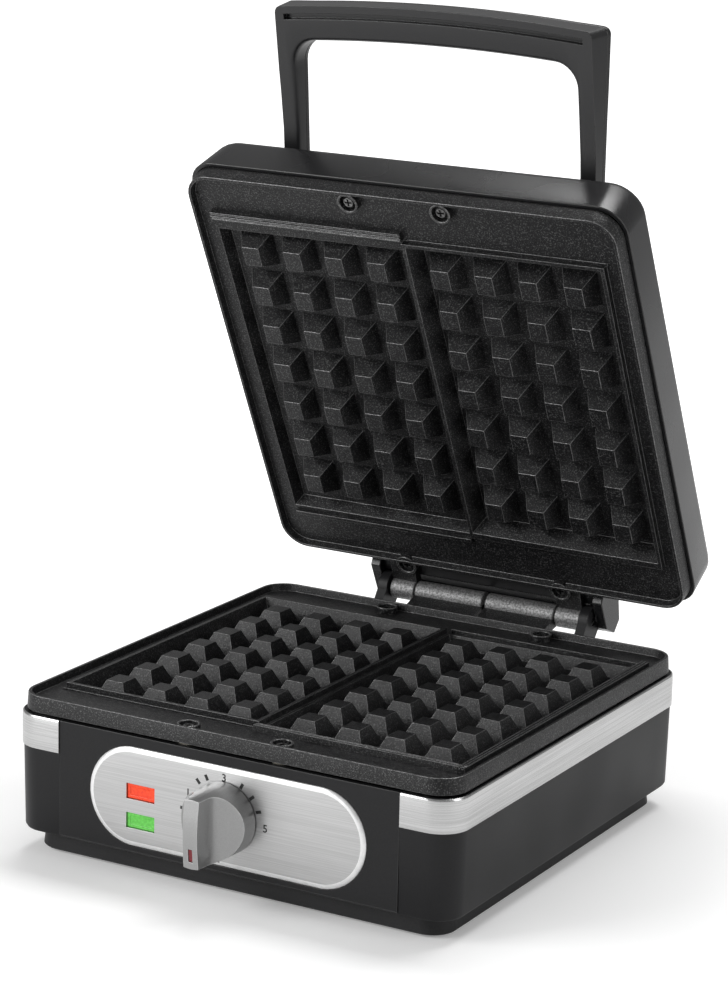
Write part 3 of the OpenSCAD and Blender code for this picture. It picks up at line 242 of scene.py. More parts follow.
satin = {"Specular IOR Level": 0.22}
glossy = {"Specular IOR Level": 0.46}
looks = {
    "housing_plastic": {"dark": (0.012, 0.012, 0.013), "light": (0.018, 0.018, 0.019), "rough": (0.36, 0.46),
                        "grain": 2600, "relief": (0.16, 0.0002), "sockets": satin},
    "panel_plastic": {"dark": (0.013, 0.013, 0.014), "light": (0.019, 0.019, 0.02), "rough": (0.34, 0.44),
                      "grain": 2600, "relief": (0.14, 0.0002), "sockets": satin},
    "lid_plastic": {"dark": (0.009, 0.009, 0.01), "light": (0.014, 0.014, 0.015), "rough": (0.24, 0.32),
                    "grain": 2400, "relief": (0.1, 0.0002), "sockets": glossy},
    "handle_plastic": {"dark": (0.01, 0.01, 0.011), "light": (0.016, 0.016, 0.017), "rough": (0.28, 0.38),
                       "grain": 2500, "relief": (0.12, 0.0002), "sockets": glossy},
    "plinth_plastic": {"dark": (0.016, 0.016, 0.017), "light": (0.024, 0.024, 0.025), "rough": (0.42, 0.55),
                       "grain": 1900, "relief": (0.2, 0.0002), "sockets": satin},
    "black_rubber": {"dark": (0.012, 0.012, 0.012), "light": (0.02, 0.02, 0.02), "rough": (0.7, 0.85),
                     "grain": 1500, "relief": (0.3, 0.0002)},
    "cast_plate": {"dark": (0.002, 0.002, 0.0024), "light": (0.012, 0.012, 0.013), "rough": (0.32, 0.42),
                   "grain": 950, "relief": (0.6, 0.0004), "cloud": 26,
                   "speckle": {"scale": 1300, "from": 0.55, "tone": grey(0.075)},
                   "sockets": {"Specular IOR Level": 0.34}},
    # painted highlight: a lighter, half-metal copy of the cast plate, put on its bevelled edges and stud rims
    # where light would catch them
    "cast_painted_highlight": {"dark": grey(0.06), "light": grey(0.24), "rough": (0.22, 0.34), "metal": 0.45,
                  "grain": 1100, "relief": (0.3, 0.0003)},
    # painted highlight: a near-white copy of the knob's silver, put on its bevelled edges where light would
    # catch them
    "knob_painted_highlight": {"dark": grey(0.62), "light": grey(0.7), "rough": (0.2, 0.26), "metal": 0.3,
                  "grain": 1500, "relief": (0.05, 0.0001)},
    # painted highlight: a lighter copy of the black plastics, put on bevelled edges where light would catch
    # them
    "plastic_painted_highlight": {"dark": grey(0.022), "light": grey(0.036), "rough": (0.2, 0.3),
                     "grain": 1500, "relief": (0.08, 0.0002)},
    # painted highlight: a lighter, partly diffuse copy of the plate steel for the control plate's rounded
    # border
    "border_painted_highlight": {"dark": grey(0.86), "light": grey(0.94), "rough": (0.3, 0.36), "metal": 0.6,
                     "grain": 300, "relief": (0.04, 0.0001), "uneven": 0.08},
    "knuckle_metal": {"dark": grey(0.14), "light": grey(0.42), "rough": (0.45, 0.6), "metal": 0.7,
                      "grain": 900, "relief": (0.5, 0.0004)},
    "band_steel": {"dark": grey(0.5), "light": grey(0.66), "rough": (0.2, 0.28), "metal": 1.0,
                   "grain": 22, "stretch": (0.6, 0.6, 90), "relief": (0.08, 0.0001), "uneven": 0.1},
    "control_steel": {"dark": grey(0.5), "light": grey(0.6), "rough": (0.3, 0.38), "metal": 0.95,
                      "grain": 26, "stretch": (0.7, 0.7, 110), "relief": (0.12, 0.0001), "uneven": 0.1},
    "knob_silver": {"dark": grey(0.36), "light": grey(0.4), "rough": (0.26, 0.34), "metal": 0.8,
                    "grain": 1800, "relief": (0.03, 0.0001), "uneven": 0.12},
    "pointer_red": {"dark": (0.16, 0.01, 0.016), "light": (0.22, 0.014, 0.02), "rough": (0.3, 0.4),
                    "grain": 1600, "relief": (0.1, 0.0001)},
    "lens_red": {"dark": (0.75, 0.03, 0.006), "light": (0.88, 0.07, 0.014), "rough": (0.12, 0.2),
                 "grain": 700, "relief": (0.05, 0.0001),
                 "sockets": {"Emission Color": (1.0, 0.08, 0.015, 1.0), "Emission Strength": 0.22}},
    "lens_green": {"dark": (0.08, 0.4, 0.05), "light": (0.14, 0.56, 0.09), "rough": (0.12, 0.2),
                   "grain": 700, "relief": (0.05, 0.0001),
                   "sockets": {"Emission Color": (0.16, 0.75, 0.1, 1.0), "Emission Strength": 0.2}},
    "dial_ink": {"dark": grey(0.008), "light": grey(0.014), "rough": (0.4, 0.5),
                 "grain": 2000, "relief": (0.1, 0.0001)},
    "pale_plastic": {"dark": (0.6, 0.57, 0.5), "light": (0.68, 0.65, 0.58), "rough": (0.4, 0.5),
                     "grain": 1500, "relief": (0.15, 0.0002)},
    "ceramic": {"dark": (0.62, 0.58, 0.5), "light": (0.74, 0.7, 0.62), "rough": (0.5, 0.65),
                "grain": 900, "relief": (0.3, 0.0003)},
    "lamp_glass": {"dark": (0.85, 0.75, 0.68), "light": (0.95, 0.86, 0.8), "rough": (0.05, 0.1),
                   "grain": 400, "relief": (0.03, 0.0001), "sockets": {"Transmission Weight": 0.7}},
    "zinc_steel": {"dark": grey(0.36), "light": grey(0.5), "rough": (0.3, 0.45), "metal": 1.0,
                   "grain": 700, "relief": (0.2, 0.0002)},
    "plate_screw": {"dark": grey(0.05), "light": grey(0.1), "rough": (0.3, 0.42), "metal": 1.0,
                    "grain": 900, "relief": (0.25, 0.0002),
                    "wear": {"from": 0.52, "to": 0.6, "amount": 0.7, "tone": grey(0.45)}},
    "pin_steel": {"dark": grey(0.45), "light": grey(0.58), "rough": (0.22, 0.32), "metal": 1.0,
                  "grain": 60, "stretch": (30, 1, 1), "relief": (0.1, 0.0001)},
    "heater_steel": {"dark": (0.16, 0.15, 0.14), "light": (0.26, 0.24, 0.22), "rough": (0.45, 0.6),
                     "metal": 0.8, "grain": 500, "relief": (0.3, 0.0003)},
    "copper": {"dark": (0.6, 0.27, 0.16), "light": (0.75, 0.36, 0.22), "rough": (0.25, 0.4), "metal": 1.0,
               "grain": 500, "relief": (0.1, 0.0001)},
    "bright_sheet": {"dark": grey(0.55), "light": grey(0.7), "rough": (0.25, 0.4), "metal": 1.0,
                     "grain": 40, "stretch": (1, 24, 1), "relief": (0.12, 0.0001)},
    "silicone": {"dark": (0.5, 0.12, 0.08), "light": (0.62, 0.16, 0.11), "rough": (0.5, 0.6),
                 "grain": 900, "relief": (0.15, 0.0002)},
}
finishes = {name: makeFinish(name, look) for name, look in looks.items()}

slotOf = {entry["node"]: entry["material_slot"] for entry in frame["record"]["subparts"]}
for node, piece in frame["nodes"].items():
    finish = finishes["plate_screw" if node.endswith("_plate_screws") else slotOf[node]]
    if not piece.material_slots:
        piece.data.materials.append(finish)
    for holder in piece.material_slots:
        holder.material = finish
print("finishes on the packed nodes")


# drawing helpers: loops, walls and prisms

making = {"merge": 0.002, "cut": 0.0005, "edgeSteps": 2, "edgeAngle": 35}


def roundOff(bm, parts, offset, steps, kind="VERTICES"):
    bmesh.ops.bevel(bm, geom=parts, offset=offset, offset_type="OFFSET", segments=steps,
                    profile=0.5, affect=kind, material=-1)


def rectLoop(bm, x0, x1, y0, y1, z):
    verts = bmesh.ops.create_grid(bm, x_segments=1, y_segments=1, size=0.5)["verts"]
    bmesh.ops.scale(bm, vec=(x1 - x0, y1 - y0, 1), verts=verts)
    bmesh.ops.translate(bm, vec=((x0 + x1) / 2, (y0 + y1) / 2, z), verts=verts)
    return dropFace(bm, verts[0].link_faces[0])


def planLoop(bm, wide, deep, radius, z, shiftY=0.0, steps=8):
    verts = bmesh.ops.create_grid(bm, x_segments=1, y_segments=1, size=0.5)["verts"]
    bmesh.ops.scale(bm, vec=(wide, deep, 1), verts=verts)
    bmesh.ops.translate(bm, vec=(0, shiftY, z), verts=verts)
    kept = set(bm.faces) - {verts[0].link_faces[0]}
    roundOff(bm, verts, radius, steps)
    return dropFace(bm, next(face for face in bm.faces if face not in kept))


def stadiumLoop(bm, long, high, z, steps=48):
    verts = bmesh.ops.create_circle(bm, cap_ends=True, segments=steps, radius=high / 2)["verts"]
    bmesh.ops.rotate(bm, cent=(0, 0, 0), matrix=Matrix.Rotation(math.pi / steps, 3, "Z"), verts=verts)
    for side in (1, -1):
        half = [vert for vert in verts if vert.co.x * side > 0]
        bmesh.ops.translate(bm, vec=(side * (long - high) / 2, 0, 0), verts=half)
    bmesh.ops.translate(bm, vec=(0, 0, z), verts=verts)
    return dropFace(bm, verts[0].link_faces[0])


def dropFace(bm, face):
    edges = face.edges[:]
    bmesh.ops.delete(bm, geom=[face], context="FACES_ONLY")
    return edges


# the second loop is lifted while it is bridged, so that level loops face each other too
def joinLoops(bm, *loops):
    lift = Vector((0, 0, 40))
    for first, second in zip(loops, loops[1:]):
        lifted = list({vert for edge in second for vert in edge.verts})
        bmesh.ops.translate(bm, vec=lift, verts=lifted)
        bmesh.ops.bridge_loops(bm, edges=first + second)
        bmesh.ops.translate(bm, vec=-lift, verts=lifted)


def fillLoop(bm, edges):
    return bmesh.ops.edgeloop_fill(bm, edges=edges)["faces"]


def fillBetween(bm, *loops):
    edges = [edge for loop in loops for edge in loop]
    bmesh.ops.triangle_fill(bm, use_beauty=True, use_dissolve=False, edges=edges)


# a closed wall profile carried round a rounded plan; its numbers are outward, up
def sweepWall(bm, wide, deep, radius, profile, steps=8):
    loops = [planLoop(bm, wide + 2 * out, deep + 2 * out, radius + out, z, 0.0, steps) for out, z in profile]
    joinLoops(bm, *loops)
    joinLoops(bm, loops[-1], loops[0])


# a sunk region leaves its first faces behind, so they are taken out
def pushFaces(bm, faces, step, sunk=False):
    grown = bmesh.ops.extrude_face_region(bm, geom=faces)["geom"]
    if sunk:
        bmesh.ops.delete(bm, geom=faces, context="FACES")
    bmesh.ops.translate(bm, vec=step, verts=[item for item in grown if isinstance(item, bmesh.types.BMVert)])


def prism(bm, outline, start, end, along="X"):
    place = {"X": lambda u, v: (start, u, v), "Y": lambda u, v: (u, start, v)}
    face = bm.faces.new([bm.verts.new(place[along](u, v)) for u, v in outline])
    pushFaces(bm, [face], Vector([end - start if name == along else 0 for name in "XYZ"]))


def box(bm, x0, x1, y0, y1, z0, z1):
    verts = bmesh.ops.create_cube(bm, size=1)["verts"]
    bmesh.ops.scale(bm, vec=(x1 - x0, y1 - y0, z1 - z0), verts=verts)
    bmesh.ops.translate(bm, vec=((x0 + x1) / 2, (y0 + y1) / 2, (z0 + z1) / 2), verts=verts)
    return verts


# a closed outline of (radius, distance along the axis) turned all the way round
def turned(bm, outline, centre, along="Z", steps=32):
    spots = {"Z": lambda r, h: (r, 0, h), "X": lambda r, h: (h, 0, r)}
    verts = [bm.verts.new(Vector(centre) + Vector(spots[along](r, h))) for r, h in outline]
    edges = [bm.edges.new(pair) for pair in zip(verts, verts[1:] + verts[:1])]
    bmesh.ops.spin(bm, geom=verts + edges, cent=centre, axis=[name == along for name in "XYZ"],
                   dvec=(0, 0, 0), angle=2 * math.pi, steps=steps, use_merge=True,
                   use_normal_flip=False, use_duplicate=False)


def cutLine(bm, place, normal, away=False):
    bmesh.ops.bisect_plane(bm, geom=bm.verts[:] + bm.edges[:] + bm.faces[:], dist=making["cut"],
                           plane_co=place, plane_no=normal, clear_outer=away)


def closeRims(bm):
    rim = [edge for edge in bm.edges if edge.is_boundary]
    if rim:
        bmesh.ops.holes_fill(bm, edges=rim, sides=0)


def cutAway(bm, place, normal):
    cutLine(bm, place, normal, away=True)
    closeRims(bm)


# takes out what lies inside a box and closes the ends that it leaves; far stands for no limit
far = 999


def openBox(bm, low, high):
    for axis in range(3):
        normal = [float(axis == k) for k in range(3)]
        for edge in (low, high):
            if abs(edge[axis]) < far:
                cutLine(bm, [edge[axis] * n for n in normal], normal)
    inside = [face for face in bm.faces
              if all(low[k] < face.calc_center_median()[k] < high[k] for k in range(3))]
    bmesh.ops.delete(bm, geom=inside, context="FACES")
    closeRims(bm)


# bevel and place are in millimetres; edge is the finish of the bevelled edges, a lighter copy of the piece's
# finish that paints a highlight on them
def finishPiece(bm, name, body, finish, replaced=(), bevel=0.4, place=None, second=None, smooth=32,
                edge="plastic_painted_highlight"):
    if place is not None:
        bmesh.ops.transform(bm, matrix=place, verts=bm.verts[:])
    bmesh.ops.remove_doubles(bm, verts=bm.verts[:], dist=making["merge"])
    bmesh.ops.recalc_face_normals(bm, faces=bm.faces[:])
    bmesh.ops.transform(bm, matrix=toMetres, verts=bm.verts[:])
    mesh = bpy.data.meshes.new(name)
    bm.to_mesh(mesh)
    bm.free()
    for label in (finish, second, edge):
        if label:
            mesh.materials.append(finishes[label])
    mesh.polygons.foreach_set("use_smooth", [True] * len(mesh.polygons))
    mesh.set_sharp_from_angle(angle=math.radians(smooth))
    piece = bpy.data.objects.new(name, mesh)
    bpy.context.scene.collection.objects.link(piece)
    if bevel:
        edges = piece.modifiers.new("edges", "BEVEL")
        edges.width = bevel * 0.001
        edges.segments = making["edgeSteps"]
        edges.limit_method = "ANGLE"
        edges.angle_limit = math.radians(making["edgeAngle"])
        edges.harden_normals = True
        # the bevels take the edge finish, which is a painted highlight
        edges.material = len(mesh.materials) - 1 if edge else -1
    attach(piece, body)
    if replaced:
        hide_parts(*replaced)
    print(name, "made,", len(mesh.polygons), "faces")
    return piece


# housing with its front opening

housing = {"wide": 254, "deep": 256.6, "corner": 15.6, "seam": 97.5, "frontY": -100, "backY": 100,
           "slot": (59.3, 65.5), "slotFoot": 53.8,
           "wall": [(-4, 12.1), (-2.4, 12.1), (-1.5, 13.6), (-0.8, 56.35), (-1.1, 56.4), (-1.1, 73.7),
                    (-3.2, 73.7), (-3.2, 15.1), (-4, 14.3)],
           "shelf": {"half": 120, "middle": 114, "reach": 9, "foot": 70.5, "top": 73}}


# the gap for the front panel, and one for each hinge arm
def openWalls(bm, seam, slotFoot):
    front, back = housing["frontY"], housing["backY"]
    openBox(bm, (-seam, -far, 0), (seam, front, far))
    for x0, x1 in (housing["slot"], [-x for x in housing["slot"][::-1]]):
        openBox(bm, (x0, back, slotFoot), (x1, far, far))


def makeHousing():
    bm = bmesh.new()
    sweepWall(bm, housing["wide"], housing["deep"], housing["corner"], housing["wall"])
    openWalls(bm, housing["seam"], housing["slotFoot"])
    shelf = housing["shelf"]
    for back in (1, -1):  # shelves that the lower plate is screwed to
        middle = back * shelf["middle"]
        box(bm, -shelf["half"], shelf["half"], middle - shelf["reach"], middle + shelf["reach"],
            shelf["foot"], shelf["top"])
    finishPiece(bm, "housing", "base", "housing_plastic", ["base_housing"])


makeHousing()

# brushed band round the sides and the back

band = {"wide": 254, "deep": 256.6, "corner": 15.6, "seam": 97.6, "steps": 10,
        "wall": [(-1, 56.5), (-0.3, 56.5), (0, 56.8), (0, 72.8), (-0.1, 73.3), (-0.4, 73.75), (-1, 74.0)]}


def makeBand():
    bm = bmesh.new()
    sweepWall(bm, band["wide"], band["deep"], band["corner"], band["wall"], band["steps"])
    openWalls(bm, band["seam"], 0)
    finishPiece(bm, "sideBand", "base", "band_steel", ["side_band"], bevel=0.15, edge=None)


makeBand()

# front panel with the seat for the control plate

panel = {"seam": 97.4, "face": -127.5, "thick": 3, "foot": 12.1, "top": 73.7, "knobX": 0.5, "controlZ": 42.4,
         "lip": 1.5, "lipDeep": 1.6, "plateLong": 158.6, "plateHigh": 51.6, "room": 0.5, "seat": 0.6,
         "windowX": -48.3, "windows": (45.2, 30.0), "windowHalf": (8.3, 4), "windowRoom": 0.2}


# what is drawn flat, facing up, stands on the panel's face
def ontoPanel(depth):
    return Matrix.Translation((panel["knobX"], depth, panel["controlZ"])) @ Matrix.Rotation(math.pi / 2, 4, "X")


def windowLoop(bm, z, grow, level):
    x, y = panel["windowX"] - panel["knobX"], z - panel["controlZ"]
    halfX, halfY = [half + grow for half in panel["windowHalf"]]
    return rectLoop(bm, x - halfX, x + halfX, y - halfY, y + halfY, level)


def makePanel():
    bm = bmesh.new()
    low, high = panel["foot"] - panel["controlZ"], panel["top"] - panel["controlZ"]
    x0, x1 = -panel["seam"] - panel["knobX"], panel["seam"] - panel["knobX"]
    thick, seat, room = panel["thick"], panel["seat"], panel["windowRoom"]
    long, tall = panel["plateLong"] + panel["room"], panel["plateHigh"] + panel["room"]
    front = rectLoop(bm, x0, x1, low + panel["lip"], high, 0)
    rise = rectLoop(bm, x0, x1, low, high, -panel["lipDeep"])
    back = rectLoop(bm, x0, x1, low, high, -thick)
    mouth = stadiumLoop(bm, long, tall, 0)
    floor = stadiumLoop(bm, long, tall, -seat)
    holes = [windowLoop(bm, z, room, -seat) for z in panel["windows"]]
    throughs = [windowLoop(bm, z, room, -thick) for z in panel["windows"]]
    fillBetween(bm, front, mouth)
    joinLoops(bm, mouth, floor)
    fillBetween(bm, floor, *holes)
    for hole, through in zip(holes, throughs):
        joinLoops(bm, hole, through)
    fillBetween(bm, back, *throughs)
    joinLoops(bm, front, rise, back)
    finishPiece(bm, "frontPanel", "base", "panel_plastic", ["front_panel"], 0.35,
                ontoPanel(panel["face"]))


makePanel()

# control plate: a brushed field with two windows inside a rounded border that is painted lighter as a highlight

plate = {"front": -128.5, "thick": 1.5,
         "border": [(0, -1.5), (0, -1.0), (-0.3, -0.66), (-0.9, -0.32), (-1.7, -0.1), (-2.6, 0)]}


def makeControlPlate():
    bm = bmesh.new()
    long, high = panel["plateLong"], panel["plateHigh"]
    loops = [stadiumLoop(bm, long + 2 * out, high + 2 * out, z) for out, z in plate["border"]]
    joinLoops(bm, *loops)
    for face in bm.faces:  # the rounded border gets a lighter finish as a painted highlight, the field brushed
        face.material_index = 1
    holes = [windowLoop(bm, z, 0, 0) for z in panel["windows"]]
    throughs = [windowLoop(bm, z, 0, -plate["thick"]) for z in panel["windows"]]
    fillBetween(bm, loops[-1], *holes)
    for hole, through in zip(holes, throughs):
        joinLoops(bm, hole, through)
    fillBetween(bm, loops[0], *throughs)
    finishPiece(bm, "controlPlate", "base", "control_steel", ["control_plate"], 0.12,
                ontoPanel(plate["front"]), second="border_painted_highlight", smooth=40, edge=None)


makeControlPlate()

# lamp windows, each with two fine steps; a step is its width and its rise

lens = {"recess": 0.9, "back": 3.4, "room": -0.25, "steps": [(1.5, 0), (0.35, 0.3), (0.9, 0.12)]}


def makeLens(name, z, finish, node):
    bm = bmesh.new()
    front = windowLoop(bm, z, lens["room"], -lens["recess"])
    back = windowLoop(bm, z, lens["room"], -lens["back"])
    joinLoops(bm, front, back)
    fillLoop(bm, back)
    face = fillLoop(bm, front)
    for width, rise in lens["steps"]:
        bmesh.ops.inset_region(bm, faces=face, thickness=width, depth=rise, use_even_offset=True)
    finishPiece(bm, name, "base", finish, [node], 0.12, ontoPanel(plate["front"]), edge=None)


makeLens("redWindow", panel["windows"][0], "lens_red", "red_lens")
makeLens("greenWindow", panel["windows"][1], "lens_green", "green_lens")

# dial marks: short bars as x, z and lean, and three plain numbers

dial = {"bars": [(-23.3, 42.6, 84), (-14.6, 58.1, 42), (-9.8, 60.9, 28), (10.3, 60.2, -28), (16.2, 55.4, -50),
                 (20.1, 48.9, -74), (-2.6, 20.0, 0)],
        "numbers": [("1", -20.4, 51.0), ("3", 0.2, 62.4), ("5", 24.0, 41.0)],
        "size": 5.535, "bar": (1.6, 3.1), "sunk": 0.1, "proud": 0.05, "heavy": 0.09}


def fromKnob(x, z):
    return Matrix.Translation((x - panel["knobX"], z - panel["controlZ"], 0))


def makeDial():
    bm = bmesh.new()
    wide, long = dial["bar"]
    for x, z, lean in dial["bars"]:
        verts = box(bm, -wide / 2, wide / 2, -long / 2, long / 2, -dial["sunk"], dial["proud"])
        turn = Matrix.Rotation(math.radians(lean), 4, "Z")
        bmesh.ops.transform(bm, matrix=fromKnob(x, z) @ turn, verts=verts)
    for letter, x, z in dial["numbers"]:
        text = bpy.data.curves.new("digit", "FONT")
        text.body = letter
        text.size = dial["size"]
        text.align_x, text.align_y = "CENTER", "CENTER"
        text.extrude = dial["proud"]
        text.offset = dial["heavy"]
        holder = bpy.data.objects.new("digit", text)
        bpy.context.scene.collection.objects.link(holder)
        bpy.context.view_layer.update()
        flat = bpy.data.meshes.new_from_object(holder)
        flat.transform(fromKnob(x, z))
        bm.from_mesh(flat)
        bpy.data.objects.remove(holder)
        bpy.data.meshes.remove(flat)
        bpy.data.curves.remove(text)
    finishPiece(bm, "dialMarks", "base", "dial_ink", [], 0, ontoPanel(plate["front"]))


makeDial()

# knob: a grip bar between two hollow flanks, cut from a slightly tapered drum

knob = {"foot": -129.1, "wide": 36.8, "high": 30.4, "tip": 0.9, "grip": 8.0, "facets": 72,
        "crown": 95, "crownCuts": 8, "crownLean": 0.0135,
        "bend": ((4.8, 21.5), (5.4, 15.8), (11.5, 13.2)), "bendSteps": 12, "slope": 0.52, "spare": (4, 2, 1),
        "slot": (1.2, -14.0, -7.2), "slotDeep": 1.2, "frontDeep": 4}


def makeKnob():
    bm = bmesh.new()
    high, radius = knob["high"], knob["wide"] / 2
    spareX, spareY, spareZ = knob["spare"]
    start, bend, finish = [Vector(spot) for spot in knob["bend"]]
    side = [(knob["grip"] / 2, high + spareZ)]
    for k in range(knob["bendSteps"] + 1):  # the flank leaves the grip in a hollow and runs out over the foot
        t = k / knob["bendSteps"]
        side.append(tuple(start * (1 - t) ** 2 + bend * 2 * t * (1 - t) + finish * t ** 2))
    reach = radius + spareX
    side += [(reach, finish.y - (reach - finish.x) * knob["slope"]), (reach, 0)]
    outline = side + [(-x, z) for x, z in reversed(side)]
    prism(bm, outline, -radius - spareY, radius + spareY, "Y")
    for k in range(-knob["crownCuts"], knob["crownCuts"] + 1):
        lean = k * knob["crownLean"]
        normal = (0, math.sin(lean), math.cos(lean))
        cutAway(bm, Vector((0, 0, high - knob["crown"])) + Vector(normal) * knob["crown"], normal)
    taper = knob["tip"] / high
    for k in range(knob["facets"]):
        angle = 2 * math.pi * (k + 0.5) / knob["facets"]
        out = Vector((math.cos(angle), math.sin(angle), 0))
        cutAway(bm, out * radius, out + Vector((0, 0, taper)))
    half, low, top = knob["slot"]
    for place, normal in (((-half, 0, 0), (1, 0, 0)), ((half, 0, 0), (1, 0, 0)),
                          ((0, low, 0), (0, 1, 0)), ((0, top, 0), (0, 1, 0))):
        cutLine(bm, place, normal)
    mark = []
    for face in bm.faces:
        spot = face.calc_center_median()
        if abs(spot.x) < half and low < spot.y < top and spot.z > high - knob["frontDeep"]:
            mark.append(face)
    pushFaces(bm, mark, (0, 0, -knob["slotDeep"]), sunk=True)
    piece = finishPiece(bm, "controlKnob", "knob", "knob_silver", ["knob"], 0.45,
                        ontoPanel(knob["foot"]), smooth=24, edge="knob_painted_highlight")
    even = piece.modifiers.new("even", "WEIGHTED_NORMAL")
    even.keep_sharp = True


makeKnob()

# red pointer set into the grip

pointer = {"wide": 2.1, "long": 6.5, "steps": 24, "middle": -10.6, "lean": 6.4, "sunk": 1.0, "thick": 0.8}


def makePointer():
    bm = bmesh.new()
    front = stadiumLoop(bm, pointer["long"], pointer["wide"], 0, pointer["steps"])
    back = stadiumLoop(bm, pointer["long"], pointer["wide"], -pointer["thick"], pointer["steps"])
    joinLoops(bm, front, back)
    fillLoop(bm, front)
    fillLoop(bm, back)
    place = (Matrix.Translation((0, pointer["middle"], knob["high"] - pointer["sunk"]))
             @ Matrix.Rotation(math.radians(pointer["lean"]), 4, "X") @ Matrix.Rotation(math.pi / 2, 4, "Z"))
    finishPiece(bm, "pointerInlay", "knob", "pointer_red", ["knob_pointer"], 0.1,
                ontoPanel(knob["foot"]) @ place, edge=None)


makePointer()

# stud castings: a deck with a ribbed half at +X and a plain half at -X, drawn with the deck at 0

casting = {"wide": 249, "deep": 251.6, "corner": 14.35, "inset": 2.3, "under": -3, "bend": 0.47, "floor": -6.4,
           "pan": -9.4, "panInset": (0.6, 3.5), "mouth": 0.235,
           "studs": (4, 7), "first": (18.65, -76.7), "pitch": (25.35, 25.7), "top": (9.9, 11.4), "draft": 4.7,
           "studHigh": 3.6, "studRoot": 0.3,
           "ribbed": (1.6, 114.0, -90.7, 98.8), "plain": (-112.4, -1.6, -95.0, 94.8),
           "block": (-114.4, 0.4, -97.0, 98.6), "ledge": 3.5,
           "rim": [(-1.6, 4), (-0.5, 4), (-0.1, 3.85), (0.05, 3.5), (0.6, -4.5), (-0.4, -4.5), (-1.2, -3),
                   (-3, -3), (-3, 0), (-2.4, 0)]}

# ledges beside the ribbed half with fine ribs on top, and a lip before the plain half
ledges = {"frontY": -103.3, "frontX": {"lower": (0.6, 118.4), "upper": (0.6, 114.4)},
          "front": [(0, -0.5), (0.6, 3.5), (1.5, 3.5), (1.8, 2.6), (2.4, 2.6), (2.7, 3.5),
                    (3.5, 3.5), (3.8, 2.6), (4.4, 2.6), (4.7, 3.2), (5.4, 3.2), (6, -0.5)],
          "back": [(101, -0.5), (101.2, 2.2), (103.4, 2.2), (103.6, -0.5)], "backX": (1.6, 113),
          "side": [(0, -0.5), (0.4, 3.5), (1.2, 3.5), (1.4, 2.6), (1.9, 2.6), (2.1, 3.5),
                   (2.9, 3.5), (3.1, 2.6), (3.6, 2.6), (3.8, 3.2), (4.4, 3.2), (4.8, -0.5)],
          "sideX": 114, "sideY": (-103.3, 103.6), "lip": (-115.6, -2.2, -98.3, -96.9, -0.5, 0.8)}

# collars round the fixing screws, as centres and as radius and height
collars = {"wells": {"lower": [(26.8, -118.7), (47.7, 117.0)], "upper": [(26.8, -118.7)]},
           "lugs": {"lower": [], "upper": [(47.7, 128.4)]},
           "well": [(4.6, -0.4), (5.9, -0.4), (5.9, 3.4), (5.6, 3.7), (4.9, 3.7), (4.6, 3.4)],
           "lug": [(4.6, -4.5), (6.2, -4.5), (6.2, 2.7), (5.9, 3), (4.9, 3), (4.6, 2.7)],
           "seat": [(2.3, -4.4), (4.8, -4.4), (4.8, 0), (2.3, 0)]}

# knuckles on their leaves; the tip of a leaf is given from the pin's height
knuckle = {"y": 146, "z": {"lower": 6.0, "upper": 3.0}, "span": {"lower": (1, 43.2), "upper": (43.9, 59)},
           "leafFoot": (125.3, -3.9), "leafTip": [(147, -5.9), (147, -1), (143, 0)],
           "leafRoot": [(127.3, 0.4), (125.3, 0.4)], "bore": 2.55, "radius": 6, "chamfer": 0.4}


def shrink(sides, by):
    x0, x1, y0, y1 = sides
    return (x0 + by, x1 - by, y0 + by, y1 - by)


def addStud(bm, x, y):
    wide, deep = casting["top"]
    high, root = casting["studHigh"], casting["studRoot"]
    rise = high - casting["floor"]
    verts = box(bm, x - wide / 2, x + wide / 2, y - deep / 2, y + deep / 2, casting["floor"] - root, high)
    low = [vert for vert in verts if vert.co.z < 0]
    reach = casting["draft"] * (rise + root) / rise
    bmesh.ops.scale(bm, vec=((wide + 2 * reach) / wide, (deep + 2 * reach) / deep, 1),
                    space=Matrix.Translation((-x, -y, 0)), verts=low)


# deck, both pockets and the block round the plain one, as one skin
def drawDeck(bm):
    floor, ledge, under, mouth = casting["floor"], casting["ledge"], casting["under"], casting["mouth"]
    inset = casting["inset"]
    plan = (casting["wide"] - 2 * inset, casting["deep"] - 2 * inset, casting["corner"] - inset)
    edge, foot = planLoop(bm, *plan, 0), planLoop(bm, *plan, under)
    ribbed = rectLoop(bm, *shrink(casting["ribbed"], mouth), 0)
    ribbedFloor = rectLoop(bm, *shrink(casting["ribbed"], mouth - floor * casting["bend"]), floor)
    block = rectLoop(bm, *casting["block"], 0)
    blockTop = rectLoop(bm, *casting["block"], ledge)
    plain = rectLoop(bm, *casting["plain"], ledge)
    plainFloor = rectLoop(bm, *shrink(casting["plain"], (ledge - floor) * casting["bend"]), floor)
    fillBetween(bm, edge, ribbed, block)
    joinLoops(bm, ribbed, ribbedFloor)
    joinLoops(bm, block, blockTop, plain, plainFloor)
    fillLoop(bm, ribbedFloor)
    fillLoop(bm, plainFloor)
    panMouths = []
    for sides in (casting["ribbed"], casting["plain"]):
        panMouths.append(rectLoop(bm, *shrink(sides, casting["panInset"][0]), under))
        pan = rectLoop(bm, *shrink(sides, casting["panInset"][1]), casting["pan"])
        joinLoops(bm, panMouths[-1], pan)
        fillLoop(bm, pan)
    fillBetween(bm, foot, *panMouths)
    joinLoops(bm, edge, foot)


def addKnuckle(bm, side, kind):
    y, z, radius, bore = knuckle["y"], knuckle["z"][kind], knuckle["radius"], knuckle["bore"]
    inner, outer = sorted(side * x for x in knuckle["span"][kind])
    tip = [(v, z + w) for v, w in knuckle["leafTip"]]
    prism(bm, [knuckle["leafFoot"]] + tip + knuckle["leafRoot"], inner, outer)
    rest = set(bm.faces)
    chamfer = knuckle["chamfer"]
    turned(bm, [(bore, inner), (radius - chamfer, inner), (radius, inner + chamfer), (radius, outer - chamfer),
                (radius - chamfer, outer), (bore, outer)], (0, y, z), "X")
    for face in set(bm.faces) - rest:  # only the barrels are left bare
        face.material_index = 1


